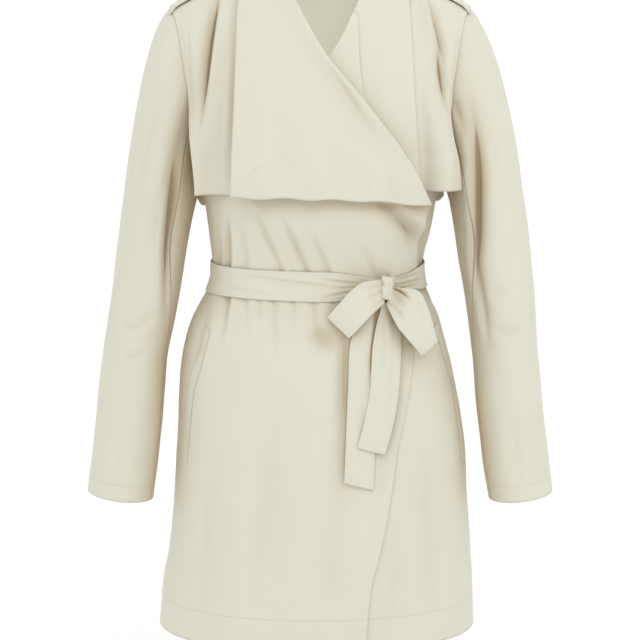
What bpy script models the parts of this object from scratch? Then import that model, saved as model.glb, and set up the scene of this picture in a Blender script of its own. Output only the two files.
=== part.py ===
"""A belted wrap jacket: draped lapels, loose storm flaps, two-piece sleeves and a tied belt.

Metres, +Z up. The front faces -Y and the wearer's left is +X. The origin is the middle
of the neck, level with the inner ends of the shoulder seams. Every piece of cloth is an
open sheet that gets its wall from Solidify, and what lies on a panel is made from the
panel's own points, moved out.
"""

import math

import bmesh
import bpy
from mathutils import Vector

# ---------------------------------------------------------------- cloth and seams
WALL = 0.0012
SEAM_GAP = 0.0005
LAYER = 0.0018  # one cloth sewn on another: its wall and the gap under it

# ---------------------------------------------------------------- the body's sizes
ARMPIT_Z = -0.222
NECK_HALF = 0.075
NECK_RISE = 0.012
BACK_NECK_DROP = 0.018
SHOULDER_FALL = 0.047 / 0.112
HEM_Z = -0.835
ROUNDNESS = 2.3
CHEST_FRONT = 0.113
CHEST_BACK = 0.106
YOKE_CURVE = 2.6
SIDE_TURN = math.pi / 2 - 0.0015  # the fronts and the back stop this close to the side
TOP_LEVEL = 0.999998  # and this close to the shoulder seam

# ---------------------------------------------------------------- the belt's sizes
BELT_Z = -0.381
BELT_WIDTH = 0.038
BELT_LIFT = 0.0047
KNOT_X = 0.083
KNOT_Z = -0.3855
KNOT_HALF = (0.0095, 0.0175)
KNOT_LIFT = (0.0043, 0.0185)

CLOTH_COLOUR = (0.76, 0.74, 0.63, 1.0)


def table(columns, *rows):
    """Rows of named columns. The first column is what the others are read along."""
    names = columns.split()
    return {name: [row[i] for row in rows] for i, name in enumerate(names)}


# Below the armpit: half width, depth of the front and the back from the side seams,
# and how far the section's middle lies from the jacket's.
BODY = table(
    "z half_width front back middle",
    (-0.835, 0.2055, 0.136, 0.136, -0.0045),
    (-0.780, 0.2015, 0.132, 0.136, -0.0035),
    (-0.739, 0.1955, 0.129, 0.136, -0.0010),
    (-0.661, 0.1885, 0.124, 0.134, -0.0003),
    (-0.597, 0.1845, 0.121, 0.131, 0.0006),
    (-0.544, 0.1800, 0.118, 0.127, -0.0019),
    (-0.487, 0.1712, 0.113, 0.118, -0.0055),
    (-0.440, 0.1586, 0.105, 0.105, -0.0065),
    (-0.400, 0.1400, 0.096, 0.090, -0.0034),
    (-0.381, 0.1330, 0.093, 0.085, -0.0030),
    (-0.360, 0.1339, 0.095, 0.086, -0.0028),
    (-0.327, 0.1394, 0.102, 0.094, -0.0015),
    (-0.292, 0.1450, 0.109, 0.101, 0.0),
    (-0.250, 0.1495, 0.113, 0.105, 0.0),
    (ARMPIT_Z, 0.1530, CHEST_FRONT, CHEST_BACK, 0.0),
)

# Above the armpit, where level runs from 0 there to 1 on the shoulder seam: the half
# width that the panels' curve has there, and where the armhole cuts it off.
YOKE = table(
    "level half_width armhole_x",
    (0.00, 0.153, 0.1530),
    (0.10, 0.161, 0.1535),
    (0.26, 0.173, 0.1575),
    (0.52, 0.186, 0.1640),
    (0.77, 0.196, 0.1715),
    (0.93, 0.202, 0.1792),
    (1.00, 0.204, 0.1870),
)

# Where each front stops: its rolled edge above the lapel's tip, its free edge below it.
TIP_Z = -0.285
RIGHT_ROLL = table(
    "z x",
    (TIP_Z, 0.1265),
    (-0.267, 0.1190),
    (-0.252, 0.1125),
    (-0.226, 0.0985),
    (-0.202, 0.0850),
    (-0.150, 0.0460),
    (-0.107, 0.0095),
    (-0.077, -0.0100),
    (-0.037, -0.0340),
    (0.000, -0.0720),
)
RIGHT_EDGE = table(
    "z x",
    (HEM_Z, 0.0560),
    (-0.753, 0.0640),
    (-0.708, 0.0753),
    (-0.639, 0.0880),
    (-0.588, 0.0945),
    (-0.527, 0.1065),
    (-0.481, 0.1135),
    (-0.440, 0.1170),
    (-0.398, 0.1190),
    (-0.360, 0.1190),
    (-0.320, 0.1220),
    (TIP_Z, 0.1265),
)
LEFT_ROLL = table(
    "z x",
    (TIP_Z, -0.0900),
    (-0.202, -0.0640),
    (-0.150, -0.0250),
    (-0.107, 0.0095),
    (-0.077, 0.0290),
    (-0.037, 0.0470),
    (0.000, 0.0720),
)
LEFT_EDGE = table(
    "z x",
    (HEM_Z, -0.0300),
    (-0.600, -0.0550),
    (-0.398, -0.0750),
    (TIP_Z, -0.0900),
)

# The largest folds, as soft troughs (depth over 0) and ridges (under 0) between two
# places on the front or back.
FOLDS = table(
    "side x0 z0 x1 z1 depth width",
    (-1, -0.112, -0.300, -0.113, -0.352, 0.0045, 0.011),
    (-1, -0.083, -0.290, -0.049, -0.350, 0.0045, 0.013),
    (-1, -0.042, -0.305, -0.016, -0.355, 0.0045, 0.012),
    (-1, -0.062, -0.315, -0.032, -0.350, -0.0030, 0.010),
    (-1, -0.014, -0.318, 0.010, -0.356, 0.0040, 0.012),
    (-1, 0.077, -0.285, 0.112, -0.322, 0.0055, 0.014),
    (-1, -0.112, -0.402, -0.120, -0.440, 0.0045, 0.012),
    (-1, -0.085, -0.404, -0.088, -0.436, 0.0030, 0.011),
    (-1, -0.050, -0.404, -0.054, -0.450, 0.0030, 0.013),
    (-1, -0.018, -0.406, -0.015, -0.440, 0.0030, 0.012),
    (-1, 0.020, -0.408, 0.026, -0.470, 0.0030, 0.014),
    (-1, -0.060, -0.560, -0.085, -0.800, 0.0040, 0.040),
    (-1, 0.010, -0.600, 0.000, -0.820, -0.0040, 0.045),
    (-1, 0.130, -0.560, 0.145, -0.800, 0.0040, 0.030),
    (1, -0.110, -0.300, -0.092, -0.355, 0.0045, 0.013),
    (1, -0.070, -0.290, -0.060, -0.352, 0.0050, 0.014),
    (1, -0.026, -0.305, -0.022, -0.356, 0.0045, 0.013),
    (1, 0.018, -0.292, 0.016, -0.352, 0.0050, 0.014),
    (1, 0.062, -0.300, 0.054, -0.356, 0.0045, 0.013),
    (1, 0.106, -0.298, 0.092, -0.352, 0.0050, 0.014),
    (1, -0.104, -0.404, -0.118, -0.462, 0.0045, 0.015),
    (1, -0.060, -0.404, -0.070, -0.480, 0.0050, 0.016),
    (1, -0.014, -0.404, -0.018, -0.470, 0.0045, 0.015),
    (1, 0.030, -0.404, 0.036, -0.486, 0.0050, 0.016),
    (1, 0.078, -0.404, 0.088, -0.466, 0.0045, 0.015),
    (1, -0.090, -0.560, -0.120, -0.815, -0.0050, 0.040),
    (1, 0.000, -0.600, 0.006, -0.820, 0.0060, 0.045),
    (1, 0.095, -0.560, 0.118, -0.815, -0.0050, 0.040),
)


# ---------------------------------------------------------------- reading the tables
def tangent(keys, values, i):
    low = max(i - 1, 0)
    high = min(i + 1, len(keys) - 1)
    return (values[high] - values[low]) / (keys[high] - keys[low])


def read(rows, name, at):
    """One column's value at a place along the first column, on a smooth curve."""
    keys = next(iter(rows.values()))
    values = rows[name]
    at = min(max(at, keys[0]), keys[-1])
    i = max(k for k in range(len(keys) - 1) if keys[k] <= at)
    span = keys[i + 1] - keys[i]
    t = (at - keys[i]) / span
    start = tangent(keys, values, i) * span
    end = tangent(keys, values, i + 1) * span
    smooth = t * t * (3 - 2 * t)
    return (
        values[i] * (1 - smooth)
        + values[i + 1] * smooth
        + start * t * (1 - t) ** 2
        - end * t * t * (1 - t)
    )


def ease(value, low, high):
    """0 up to low, 1 from high, and a smooth step between them."""
    t = min(max((value - low) / (high - low), 0.0), 1.0)
    return t * t * (3 - 2 * t)


def mix(a, b, t):
    return a * (1 - t) + b * t


def steps(low, high, count):
    """count + 1 even values from low to high."""
    return [mix(low, high, i / count) for i in range(count + 1)]


# ---------------------------------------------------------------- the body's surface
def ridge_z(x):
    """Height of the shoulder seam, and of the line that closes it over the neck."""
    from_middle = abs(x)
    if from_middle < NECK_HALF:
        return NECK_RISE * (1 - (from_middle / NECK_HALF) ** 2)
    return -SHOULDER_FALL * (from_middle - NECK_HALF)


def height(x, level):
    """Height of a level, which is metres below the armpit, under 0, or the share of the
    way from there up to the shoulder seam."""
    return ARMPIT_Z + level if level <= 0 else mix(ARMPIT_Z, ridge_z(x), level)


def level_at(x, z):
    level = z - ARMPIT_Z
    return level if level <= 0 else min(level / (ridge_z(x) - ARMPIT_Z), TOP_LEVEL)


def section(level):
    """Half width, front depth, back depth and middle of the body at a level."""
    if level <= 0:
        z = ARMPIT_Z + level
        return [read(BODY, name, z) for name in ("half_width", "front", "back", "middle")]
    share = math.sqrt(max(1 - level**YOKE_CURVE, 0.0))
    return [read(YOKE, "half_width", level), CHEST_FRONT * share, CHEST_BACK * share, 0.0]


def turn_at(x, level, widen=0.0):
    """Turn from the front's middle, or the back's, to a place x across."""
    half, _, _, middle = section(level)
    share = min(max((x - middle) / (half + widen), -1.0), 1.0)
    return math.copysign(math.asin(abs(share) ** (ROUNDNESS / 2)), share)


def body(turn, level, widen=0.0):
    """A point of the bare surface: turn is 0 at the front, 90 degrees at the wearer's
    left, and widen flattens the curve, as on a piece that hangs clear of the sides."""
    half, front, back, middle = section(level)
    across, along = math.sin(turn), math.cos(turn)
    x = middle + math.copysign((half + widen) * abs(across) ** (2 / ROUNDNESS), across)
    depth = front if along > 0 else back
    y = -math.copysign(depth * abs(along) ** (2 / ROUNDNESS), along)
    y -= math.copysign(SEAM_GAP * ease(level, 0.8, 1.0), along)
    return Vector((x, y, height(x, level)))


def level_beside(level, move):
    """A level a little lower or higher, by an even step over the rounded shoulder."""
    if level <= 0:
        return level + move
    rise = math.asin(level ** (YOKE_CURVE / 2)) + move
    return math.sin(min(max(rise, 0.0), math.pi / 2)) ** (2 / YOKE_CURVE)


def outward(turn, level, widen=0.0):
    small = 0.004
    around = body(turn + small, level, widen) - body(turn - small, level, widen)
    up = body(turn, level_beside(level, small), widen) - body(turn, level_beside(level, -small), widen)
    return around.cross(up).normalized()


def fold_depth(point):
    """How far the folds draw the cloth in at a point of the body."""
    total = 0.0
    side = -1 if point.y < 0 else 1
    for i, row_side in enumerate(FOLDS["side"]):
        if row_side != side:
            continue
        x0, z0, x1, z1 = (FOLDS[name][i] for name in ("x0", "z0", "x1", "z1"))
        run_x, run_z = x1 - x0, z1 - z0
        length = math.hypot(run_x, run_z)
        along = ((point.x - x0) * run_x + (point.z - z0) * run_z) / length**2
        across = ((point.x - x0) * run_z - (point.z - z0) * run_x) / length
        ends = ease(along, -0.15, 0.3) * (1 - ease(along, 0.75, 1.1))
        total += FOLDS["depth"][i] * ends * math.exp(-((across / FOLDS["width"][i]) ** 2))
    return total


def cloth(turn, level, lift=0.0, widen=0.0, folds=1.0):
    """A point of the cloth, lift metres out from the body's bare surface."""
    point = body(turn, level, widen)
    depth = folds * fold_depth(point) if folds else 0.0
    return point + outward(turn, level, widen) * (lift - depth)


def front_cloth(x, z, lift=0.0, widen=0.0, folds=1.0):
    level = level_at(x, z)
    return cloth(turn_at(x, level, widen), level, lift, widen, folds)


def turn_under(x, level, lift, widen=0.0):
    """Turn on the front of what ends up at x when it is lifted."""
    lean = outward(turn_at(x, level, widen), level, widen).x
    return turn_at(x - lean * lift, level, widen)


def over_front(x, z, lift, widen=0.0):
    level = level_at(x, z)
    return cloth(turn_under(x, level, lift, widen), level, lift, widen, 0.0)


def back_cloth(x, z, lift=0.0, widen=0.0):
    level = level_at(x, z)
    return cloth(math.pi - turn_at(x, level, widen), level, lift, widen)


# ---------------------------------------------------------------- making the pieces
def clear_scene():
    for item in list(bpy.data.objects):
        bpy.data.objects.remove(item, do_unlink=True)


def cloth_material(name):
    material = bpy.data.materials.new(name)
    material.use_nodes = True
    shader = material.node_tree.nodes["Principled BSDF"]
    shader.inputs["Base Color"].default_value = CLOTH_COLOUR
    shader.inputs["Roughness"].default_value = 0.85
    shader.inputs["Metallic"].default_value = 0.0
    return material


def finish(item, collection):
    for owner in list(item.users_collection):
        owner.objects.unlink(item)
    collection.objects.link(item)
    item.data.materials.clear()
    item.data.materials.append(cloth_material(item.name))
    item.data.shade_smooth()
    return item


def sheet(name, collection, columns, rows, place):
    """A sheet of columns x rows quads. place(u, v) gives each point of its outer side,
    with u and v from 0 to 1, and the wall goes in from there."""
    mesh = bpy.data.meshes.new(name)
    grid = bmesh.new()
    bmesh.ops.create_grid(grid, x_segments=columns, y_segments=rows, size=0.5)
    for vertex in grid.verts:
        vertex.co = place(vertex.co.x + 0.5, vertex.co.y + 0.5)
    grid.to_mesh(mesh)
    grid.free()
    item = bpy.data.objects.new(name, mesh)
    wall = item.modifiers.new("Wall", "SOLIDIFY")
    wall.thickness = WALL
    wall.offset = -1.0
    return finish(item, collection)


def at_row(values, v):
    return values[round(v * (len(values) - 1))]


# ---------------------------------------------------------------- body panels
SKIRT_ROWS = 9
WAIST_ROWS = 7
CHEST_ROWS = 3
YOKE_ROWS = 9
YOKE_SPREAD = 1.35
RIGHT_COLUMNS = 22
LEFT_COLUMNS = 12
BACK_COLUMNS = 16
HIP_Z = BELT_Z - 0.055  # the rows are closer together from here up to the lapel's tip


def yoke_levels():
    """Levels from the armpit to the shoulder seam, closer together over the shoulder."""
    rises = [math.pi / 2 * step**YOKE_SPREAD for step in steps(0.0, 1.0, YOKE_ROWS)]
    return [min(math.sin(rise) ** (2 / YOKE_CURVE), TOP_LEVEL) for rise in rises]


def panel_levels():
    """Levels from the hem to the shoulder seam, closer together at the waist."""
    hip = HIP_Z - ARMPIT_Z
    bust = TIP_Z - ARMPIT_Z
    return (
        steps(HEM_Z - ARMPIT_Z, hip, SKIRT_ROWS)[:-1]
        + steps(hip, bust, WAIST_ROWS)[:-1]
        + steps(bust, 0.0, CHEST_ROWS)[:-1]
        + yoke_levels()
    )


def armhole_turn(level):
    """Turn at which the armhole, or the side seam under it, ends a panel."""
    if level <= 0:
        return SIDE_TURN
    cut = read(YOKE, "armhole_x", level) - SEAM_GAP
    return min(turn_at(cut, level), SIDE_TURN)


def edge_turn(roll, edge, level):
    """Turn of a front's rolled or free edge. On the yoke a level's height depends on x,
    so the two are found together."""
    if height(0.0, level) < TIP_Z:
        return turn_at(read(edge, "x", ARMPIT_Z + level), level)
    x = 0.0
    for _ in range(12):
        x = read(roll, "x", height(x, level))
    return turn_at(x, level)


# The right front climbs onto the left front between two places across, and further onto
# the left lapel at the chest, most of all beside the lapel's tip.
CLIMB_X = (-0.135, -0.085)
CHEST_Z = (-0.350, -0.285)
NECK_Z = (-0.070, 0.0)
TIP_X = (0.070, 0.115)
SKIRT_CLIMB = 0.0023
CHEST_CLIMB = 0.0108
TIP_CLIMB = 0.0036
NECK_SHARE = 0.15  # what is left of the climb at the neck


def right_front_lift(x, z):
    """The right front lies on the left front and, at the chest, on the left lapel."""
    chest = ease(z, *CHEST_Z) * mix(1.0, NECK_SHARE, ease(z, *NECK_Z))
    full = CHEST_CLIMB + TIP_CLIMB * ease(x, *TIP_X)
    return ease(x, *CLIMB_X) * mix(SKIRT_CLIMB, full, chest)


def front_right(collection):
    levels = panel_levels()

    def place(u, v):
        level = at_row(levels, v)
        turn = mix(-armhole_turn(level), edge_turn(RIGHT_ROLL, RIGHT_EDGE, level), u)
        bare = body(turn, level)
        return cloth(turn, level, right_front_lift(bare.x, bare.z))

    return sheet("front_right", collection, RIGHT_COLUMNS, len(levels) - 1, place)


HIDDEN_DRAW = 0.0055
HIDDEN_FROM_EDGE = (0.040, 0.006)  # it eases in between these, under the right front's edge
HIDDEN_FROM_TIP = (-0.020, 0.030)


def front_left(collection):
    """The hidden part of the left front is drawn in, clear of the right front's folds."""
    levels = panel_levels()

    def place(u, v):
        level = at_row(levels, v)
        turn = mix(edge_turn(LEFT_ROLL, LEFT_EDGE, level), armhole_turn(level), u)
        bare = body(turn, level)
        edge = read(RIGHT_EDGE, "x", bare.z)
        hidden = 1 - ease(bare.x - edge, *(-reach for reach in HIDDEN_FROM_EDGE))
        hidden *= 1 - ease(bare.z - TIP_Z, *HIDDEN_FROM_TIP)
        return cloth(turn, level, -HIDDEN_DRAW * hidden, 0.0, 1 - hidden)

    return sheet("front_left", collection, LEFT_COLUMNS, len(levels) - 1, place)


def neckline_share(x):
    """How far up the line over the neck the back reaches: 1 from the neck's sides out."""
    if abs(x) >= NECK_HALF:
        return 1.0
    z = -BACK_NECK_DROP * (1 - (x / NECK_HALF) ** 2)
    return (z - ARMPIT_Z) / (ridge_z(x) - ARMPIT_Z)


def below_neckline(x, level):
    return level * neckline_share(x) if level > 0 else level


def back(collection):
    levels = panel_levels()

    def place(u, v):
        level = at_row(levels, v)
        side = armhole_turn(level)
        x = body(mix(side, -side, u), level).x
        turn = mix(side, -side, u)
        if level > 0:
            level = below_neckline(x, level)
            turn = turn_at(x, level)
        return cloth(math.pi - turn, level)

    return sheet("back", collection, BACK_COLUMNS, len(levels) - 1, place)


# ---------------------------------------------------------------- storm flaps
# Each flap's inner edge lies under the lapel. Its outer edge is sewn into the armhole
# down to FREE_LEVEL and hangs free from there, where corner_x is its bottom corner.
FREE_LEVEL = 0.27
FLAP_DROP = 0.045
FLAP_LOFT = 0.0010  # added to the flap's lift away from its seams
FLAP_PUFF = 0.0042
FLAP_ROWS = 3
FLAP_COLUMNS = 8
YOKE_HEIGHT = 0.187  # from the armpit's level up to the armhole's top
FLAPS = {
    "storm_flap_right": {"side": -1, "inner_x": 0.084, "corner_x": 0.149, "slope": 0.006},
    "storm_flap_left": {"side": 1, "inner_x": 0.108, "corner_x": 0.169, "slope": 0.001},
}
FLAP_WIDEN = 0.034
FLAP_WIDEN_X = (0.118, 0.160)
BACK_FLAP_CORNER_X = 0.153
BACK_FLAP_DROP = 0.060
BACK_FLAP_WIDEN = 0.022
BACK_FLAP_LOFT = 0.0024
BACK_FLAP_SWING = 0.0050
BACK_FLAP_TOP = 0.030  # how far the back flap stops short of the neckline, as a share
BESIDE_NECK_X = (0.080, 0.104)
FLAP_CREASES = table(
    "x0 z0 x1 z1 depth width",
    (-0.1250, -0.050, -0.1450, -0.180, 0.0058, 0.0080),
    (-0.1530, -0.080, -0.1540, -0.165, 0.0025, 0.0070),
    (0.1280, -0.045, 0.1460, -0.110, 0.0048, 0.0085),
    (0.1460, -0.105, 0.1480, -0.150, 0.0055, 0.0085),
)


def crease_depth(x, z):
    total = 0.0
    for i, x0 in enumerate(FLAP_CREASES["x0"]):
        z0, x1, z1 = (FLAP_CREASES[name][i] for name in ("z0", "x1", "z1"))
        share = (z - z0) / (z1 - z0)
        ends = ease(share, -0.1, 0.25) * (1 - ease(share, 0.75, 1.15))
        across = (x - mix(x0, x1, share)) / FLAP_CREASES["width"][i]
        total += FLAP_CREASES["depth"][i] * ends * math.exp(-(across**2))
    return total


def flap_levels(drop):
    return steps(-drop, 0.0, FLAP_ROWS)[:-1] + yoke_levels()


def flap_outer_x(corner_x, drop, level):
    if level >= FREE_LEVEL:
        return read(YOKE, "armhole_x", level) - SEAM_GAP
    leaving = read(YOKE, "armhole_x", FREE_LEVEL) - SEAM_GAP
    free_z = FREE_LEVEL * YOKE_HEIGHT
    fallen = (free_z - level * (YOKE_HEIGHT if level > 0 else 1.0)) / (free_z + drop)
    return mix(leaving, corner_x, ease(fallen, 0.0, 1.0))


HANG_X = 0.150
HANG_Z = (ARMPIT_Z - 0.020, ARMPIT_Z + 0.085)


def hanging(level):
    """How freely a flap hangs: 0 on the shoulder, 1 at its bottom edge."""
    return 1 - ease(height(HANG_X, level), *HANG_Z)


def storm_flap(name, collection):
    flap = FLAPS[name]
    levels = flap_levels(FLAP_DROP)

    def place(u, v):
        share = u if flap["side"] > 0 else 1 - u
        level = at_row(levels, v)
        outer = flap_outer_x(flap["corner_x"], FLAP_DROP, level)
        across = mix(flap["inner_x"], outer, share)
        x = flap["side"] * across
        if level < 0:
            level -= flap["slope"] * share * level / -FLAP_DROP
        free = hanging(level)
        widen = FLAP_WIDEN * free * ease(across, *FLAP_WIDEN_X)
        puff = FLAP_PUFF * min(ease(v, 0.0, 0.2) + free, 1.0) * (1 - ease(v, 0.55, 0.85))
        puff *= (1 - (1 - free) * ease(share, 0.8, 1.0)) * ease(share, 0.2, 0.5)
        under = right_front_lift(x, height(x, level)) if flap["side"] < 0 else 0.0
        loft = FLAP_LOFT * (1 - ease(share, 0.85, 1.0) * (1 - free)) * (1 - ease(v, 0.85, 1.0))
        crease = min(crease_depth(x, height(x, level)), puff + loft)
        lift = under + LAYER + loft + puff - crease
        return cloth(turn_at(x, level, widen), level, lift, widen)

    return sheet(name, collection, FLAP_COLUMNS, len(levels) - 1, place)


def storm_flap_back(collection):
    levels = flap_levels(BACK_FLAP_DROP)

    def place(u, v):
        level = at_row(levels, v)
        across = mix(1, -1, u)
        outer_x = flap_outer_x(BACK_FLAP_CORNER_X, BACK_FLAP_DROP, level)
        x = body(turn_at(outer_x, level) * across, level).x
        level = below_neckline(x, level)
        beside_neck = 1 - ease(abs(x), *BESIDE_NECK_X)
        level *= 1 - BACK_FLAP_TOP * beside_neck * max(level, 0.0)
        free = hanging(level)
        widen = BACK_FLAP_WIDEN * free
        sewn = ease(abs(across), 0.8, 1.0) * (1 - free)
        sewn = max(sewn, ease(v, 0.93, 1.0) * (1 - beside_neck))
        lift = LAYER + BACK_FLAP_LOFT * (1 - sewn) + BACK_FLAP_SWING * free
        return cloth(math.pi - turn_at(x, level, widen), level, lift, widen)

    return sheet("storm_flap_back", collection, BACK_COLUMNS, len(levels) - 1, place)


# ---------------------------------------------------------------- lapels
# A lapel starts in a roll on its front's edge, and falls from there to its free edge.
# Rows run from the hem up to the shoulder seam.
ROLL_TURNS = (90, 45, 0, -45, -90)
ROLL_GAP = 0.0014
ROLL_REACH = 0.016  # how far the roll lifts the face beside it
SHOULDER_Z = -0.060
LAPEL_TIP_ROWS = 3
LAPELS = {
    "lapel_right": {
        "side": -1,
        "roll": RIGHT_ROLL,
        "radius": 0.0042,
        "outer_x": (0.1020, 0.0930),
        "hem_z": -0.269,
        "face_lift": 0.0060,
        "shoulder_rise": 0.0,
        "swing": 0.0090,
        "widen": 0.050,
        "columns": 12,
    },
    "lapel_left": {
        "side": 1,
        "roll": LEFT_ROLL,
        "radius": 0.0024,
        "outer_x": (0.1190, 0.1050),
        "hem_z": -0.262,
        "face_lift": 0.0052,
        "shoulder_rise": 0.0030,
        "swing": 0.0004,
        "widen": 0.004,
        "columns": 8,
    },
}


def lapel_shares():
    """How far up each row is, from the lapel's tip to the shoulder seam."""
    levels = steps(TIP_Z - ARMPIT_Z, 0.0, LAPEL_TIP_ROWS)[:-1] + yoke_levels()
    return [(height(NECK_HALF, level) - TIP_Z) / -TIP_Z for level in levels]


def lapel_base(side, x, z):
    return right_front_lift(x, z) if side < 0 else 0.0


def lapel_face(lapel, share, v):
    """A point of the lapel's face: share is 0 on the free edge and 1 on the roll."""
    side = lapel["side"]
    roll_z = mix(TIP_Z, 0.0, v)
    roll_x = read(lapel["roll"], "x", roll_z)
    outer_x = side * mix(*lapel["outer_x"], v)
    outer_z = mix(lapel["hem_z"], ridge_z(outer_x), v)
    x = mix(outer_x, roll_x, share)
    z = mix(outer_z, roll_z, share ** (1 + 2 * (1 - v)))
    free = (1 - ease(v, 0.05, 0.75)) * (1 - ease(share, 0.35, 0.95))
    run = abs(roll_x - outer_x) * (1 - share)
    beside_roll = math.exp(-((run / ROLL_REACH) ** 2))
    top = ROLL_GAP + 2 * lapel["radius"]
    lift = mix(lapel["face_lift"], top, beside_roll) + lapel["swing"] * free
    lift += lapel["shoulder_rise"] * ease(z, SHOULDER_Z, 0.0)
    return x, z, lapel_base(side, x, z) + lift, lapel["widen"] * free


def lapel_roll(lapel, v, turn):
    """A point of the roll, turned back from its top (90) to its underside (-90)."""
    x, z, lift, _ = lapel_face(lapel, 1.0, v)
    radius = lapel["radius"]
    inward = -lapel["side"]
    angle = math.radians(turn)
    out = lift - radius + radius * math.sin(angle)
    return front_cloth(x + inward * radius * (math.cos(angle) - 1), z, out)


def lapel(name, collection):
    spec = LAPELS[name]
    face_columns = spec["columns"]
    columns = face_columns + len(ROLL_TURNS) - 1
    shares = lapel_shares()

    def place(u, v):
        v = at_row(shares, v)
        column = round((u if spec["side"] < 0 else 1 - u) * columns)
        if column > face_columns:
            return lapel_roll(spec, v, ROLL_TURNS[column - face_columns])
        x, z, lift, widen = lapel_face(spec, column / face_columns, v)
        shift = spec["side"] * spec["radius"] * ease(column / face_columns, 0.6, 1.0)
        return front_cloth(x + shift, z, lift, widen, 0.0)

    return sheet(name, collection, columns, len(shares) - 1, place)


FACING = table(
    "z x",
    (-0.166, 0.0560),
    (-0.150, 0.0520),
    (-0.127, 0.0485),
    (-0.095, 0.0458),
    (-0.055, 0.0445),
)
FACING_SET_BACK = 0.0005  # from the left lapel's roll


def lapel_left_facing(collection):
    """The turned edge of the left lapel, between the V and the thin line beside it."""
    spec = LAPELS["lapel_left"]

    def place(u, v):
        z = mix(FACING["z"][0], FACING["z"][-1], v)
        x = mix(read(LEFT_ROLL, "x", z) - FACING_SET_BACK, read(FACING, "x", z), u)
        top = 2 * spec["radius"] + ROLL_GAP + LAYER
        return front_cloth(x, z, top, 0.0, 0.0)

    return sheet("lapel_left_facing", collection, 3, 8, place)


# ---------------------------------------------------------------- collar at the back
COLLAR_STAND = (0.0095, 0.024)  # at the shoulder seams and at the middle of the back
COLLAR_FALL = (0.019, 0.052)
COLLAR_LIFT = 0.0072
COLLAR_SEAM_GAP = 0.0007
COLLAR_COLUMNS = 14
COLLAR_CROWN = 0.003
COLLAR_LEAN = 0.6  # how far the stand leans from square to the cloth towards upright
COLLAR_STEPS = (0.0, 0.3, 0.6, 0.88, 1.0, 1.12, 1.5, 2.0)


def collar_back(collection):
    """From its free edge on the shoulders, up over its fold, down inside to the neck.
    Its steps run 0 to 1 up the fall and 1 to 2 down the stand."""

    def place(u, v):
        across = math.sin(math.pi / 2 * mix(1, -1, u))
        middle = 1 - across**2
        neck_x = NECK_HALF * across
        neck_z = -BACK_NECK_DROP * middle
        edge_x = (NECK_HALF + COLLAR_FALL[0]) * across
        edge_z = mix(neck_z - mix(*COLLAR_FALL, middle), ridge_z(edge_x), abs(across) ** 6)
        stand = mix(*COLLAR_STAND, middle)
        step = COLLAR_STEPS[round(v * (len(COLLAR_STEPS) - 1))]
        up = Vector((0.0, 0.0, 1.0))
        if step > 1:
            neck = back_cloth(neck_x, neck_z) + up * COLLAR_SEAM_GAP
            level = level_at(neck_x, neck_z)
            away = outward(math.pi - turn_at(neck_x, level), level)
            rise = stand * (2 - step) - (WALL if step < 1.5 else 0.0)
            return neck + away.lerp(up, COLLAR_LEAN).normalized() * rise
        x, z = mix(edge_x, neck_x, step), mix(edge_z, neck_z, step)
        level = level_at(x, z)
        turn = math.pi - turn_at(x, level)
        lift = mix(COLLAR_LIFT, stand, ease(step, 0.2, 1.0)) + COLLAR_CROWN * math.sin(math.pi * step)
        lean = outward(turn, level).lerp(up, COLLAR_LEAN * step).normalized()
        return body(turn, level) + lean * lift

    return sheet("collar_back", collection, COLLAR_COLUMNS, len(COLLAR_STEPS) - 1, place)


# ---------------------------------------------------------------- sleeves
# Each sleeve by the height of its sections: where its middle is across and forward, and
# its half width and half depth.
SLEEVE_RIGHT = table(
    "z middle forward half_width half_depth",
    (-0.660, 0.2560, 0.030, 0.0420, 0.0440),
    (-0.596, 0.2475, 0.026, 0.0424, 0.0450),
    (-0.518, 0.2392, 0.021, 0.0420, 0.0460),
    (-0.476, 0.2345, 0.017, 0.0410, 0.0470),
    (-0.417, 0.2239, 0.012, 0.0425, 0.0490),
    (-0.362, 0.2154, 0.008, 0.0436, 0.0520),
    (-0.327, 0.2097, 0.006, 0.0440, 0.0550),
    (-0.270, 0.1995, 0.004, 0.0465, 0.0610),
)
SLEEVE_LEFT = table(
    "z middle forward half_width half_depth",
    (-0.660, 0.2573, 0.030, 0.0410, 0.0440),
    (-0.596, 0.2479, 0.026, 0.0422, 0.0450),
    (-0.518, 0.2393, 0.021, 0.0420, 0.0460),
    (-0.476, 0.2356, 0.017, 0.0418, 0.0470),
    (-0.417, 0.2297, 0.012, 0.0435, 0.0490),
    (-0.362, 0.2221, 0.008, 0.0458, 0.0520),
    (-0.327, 0.2175, 0.006, 0.0461, 0.0550),
    (-0.270, 0.2080, 0.004, 0.0470, 0.0610),
)
SLEEVE_LEAN = math.radians(8)
FRONT_SEAM_TURN = (125.0, 163.0)  # down to the elbow, and under the arm below it
BACK_SEAM_TURN = 236.0
SLEEVE_SEAM_TURN = (3.4, 1.2)  # gap in degrees, at the armhole and down the arm
CAP_ROWS = 8
ARM_ROWS = 11
ELBOW_ROWS = (9, 14)
UPPER_COLUMNS = 12
UNDER_COLUMNS = 5
UNDERARM_GAP = 0.0014
CAP_PULL = {"low": (0.018, 0.012), "top": (0.030, 0.105)}  # how far the cap's curve leads
SLEEVE_FOLDS = table(
    "side turn z0 z1 depth width",
    (-1, 116, -0.430, -0.300, 0.0045, 11),
    (-1, 60, -0.300, -0.130, 0.0035, 16),
    (-1, 20, -0.480, -0.360, 0.0030, 18),
    (-1, 250, -0.470, -0.330, 0.0050, 16),
    (-1, 300, -0.330, -0.170, 0.0040, 16),
    (1, 108, -0.350, -0.140, 0.0060, 12),
    (1, 128, -0.470, -0.360, 0.0040, 12),
    (1, 30, -0.470, -0.350, 0.0030, 18),
    (1, 245, -0.460, -0.320, 0.0050, 16),
    (1, 300, -0.330, -0.170, 0.0040, 16),
)


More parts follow.
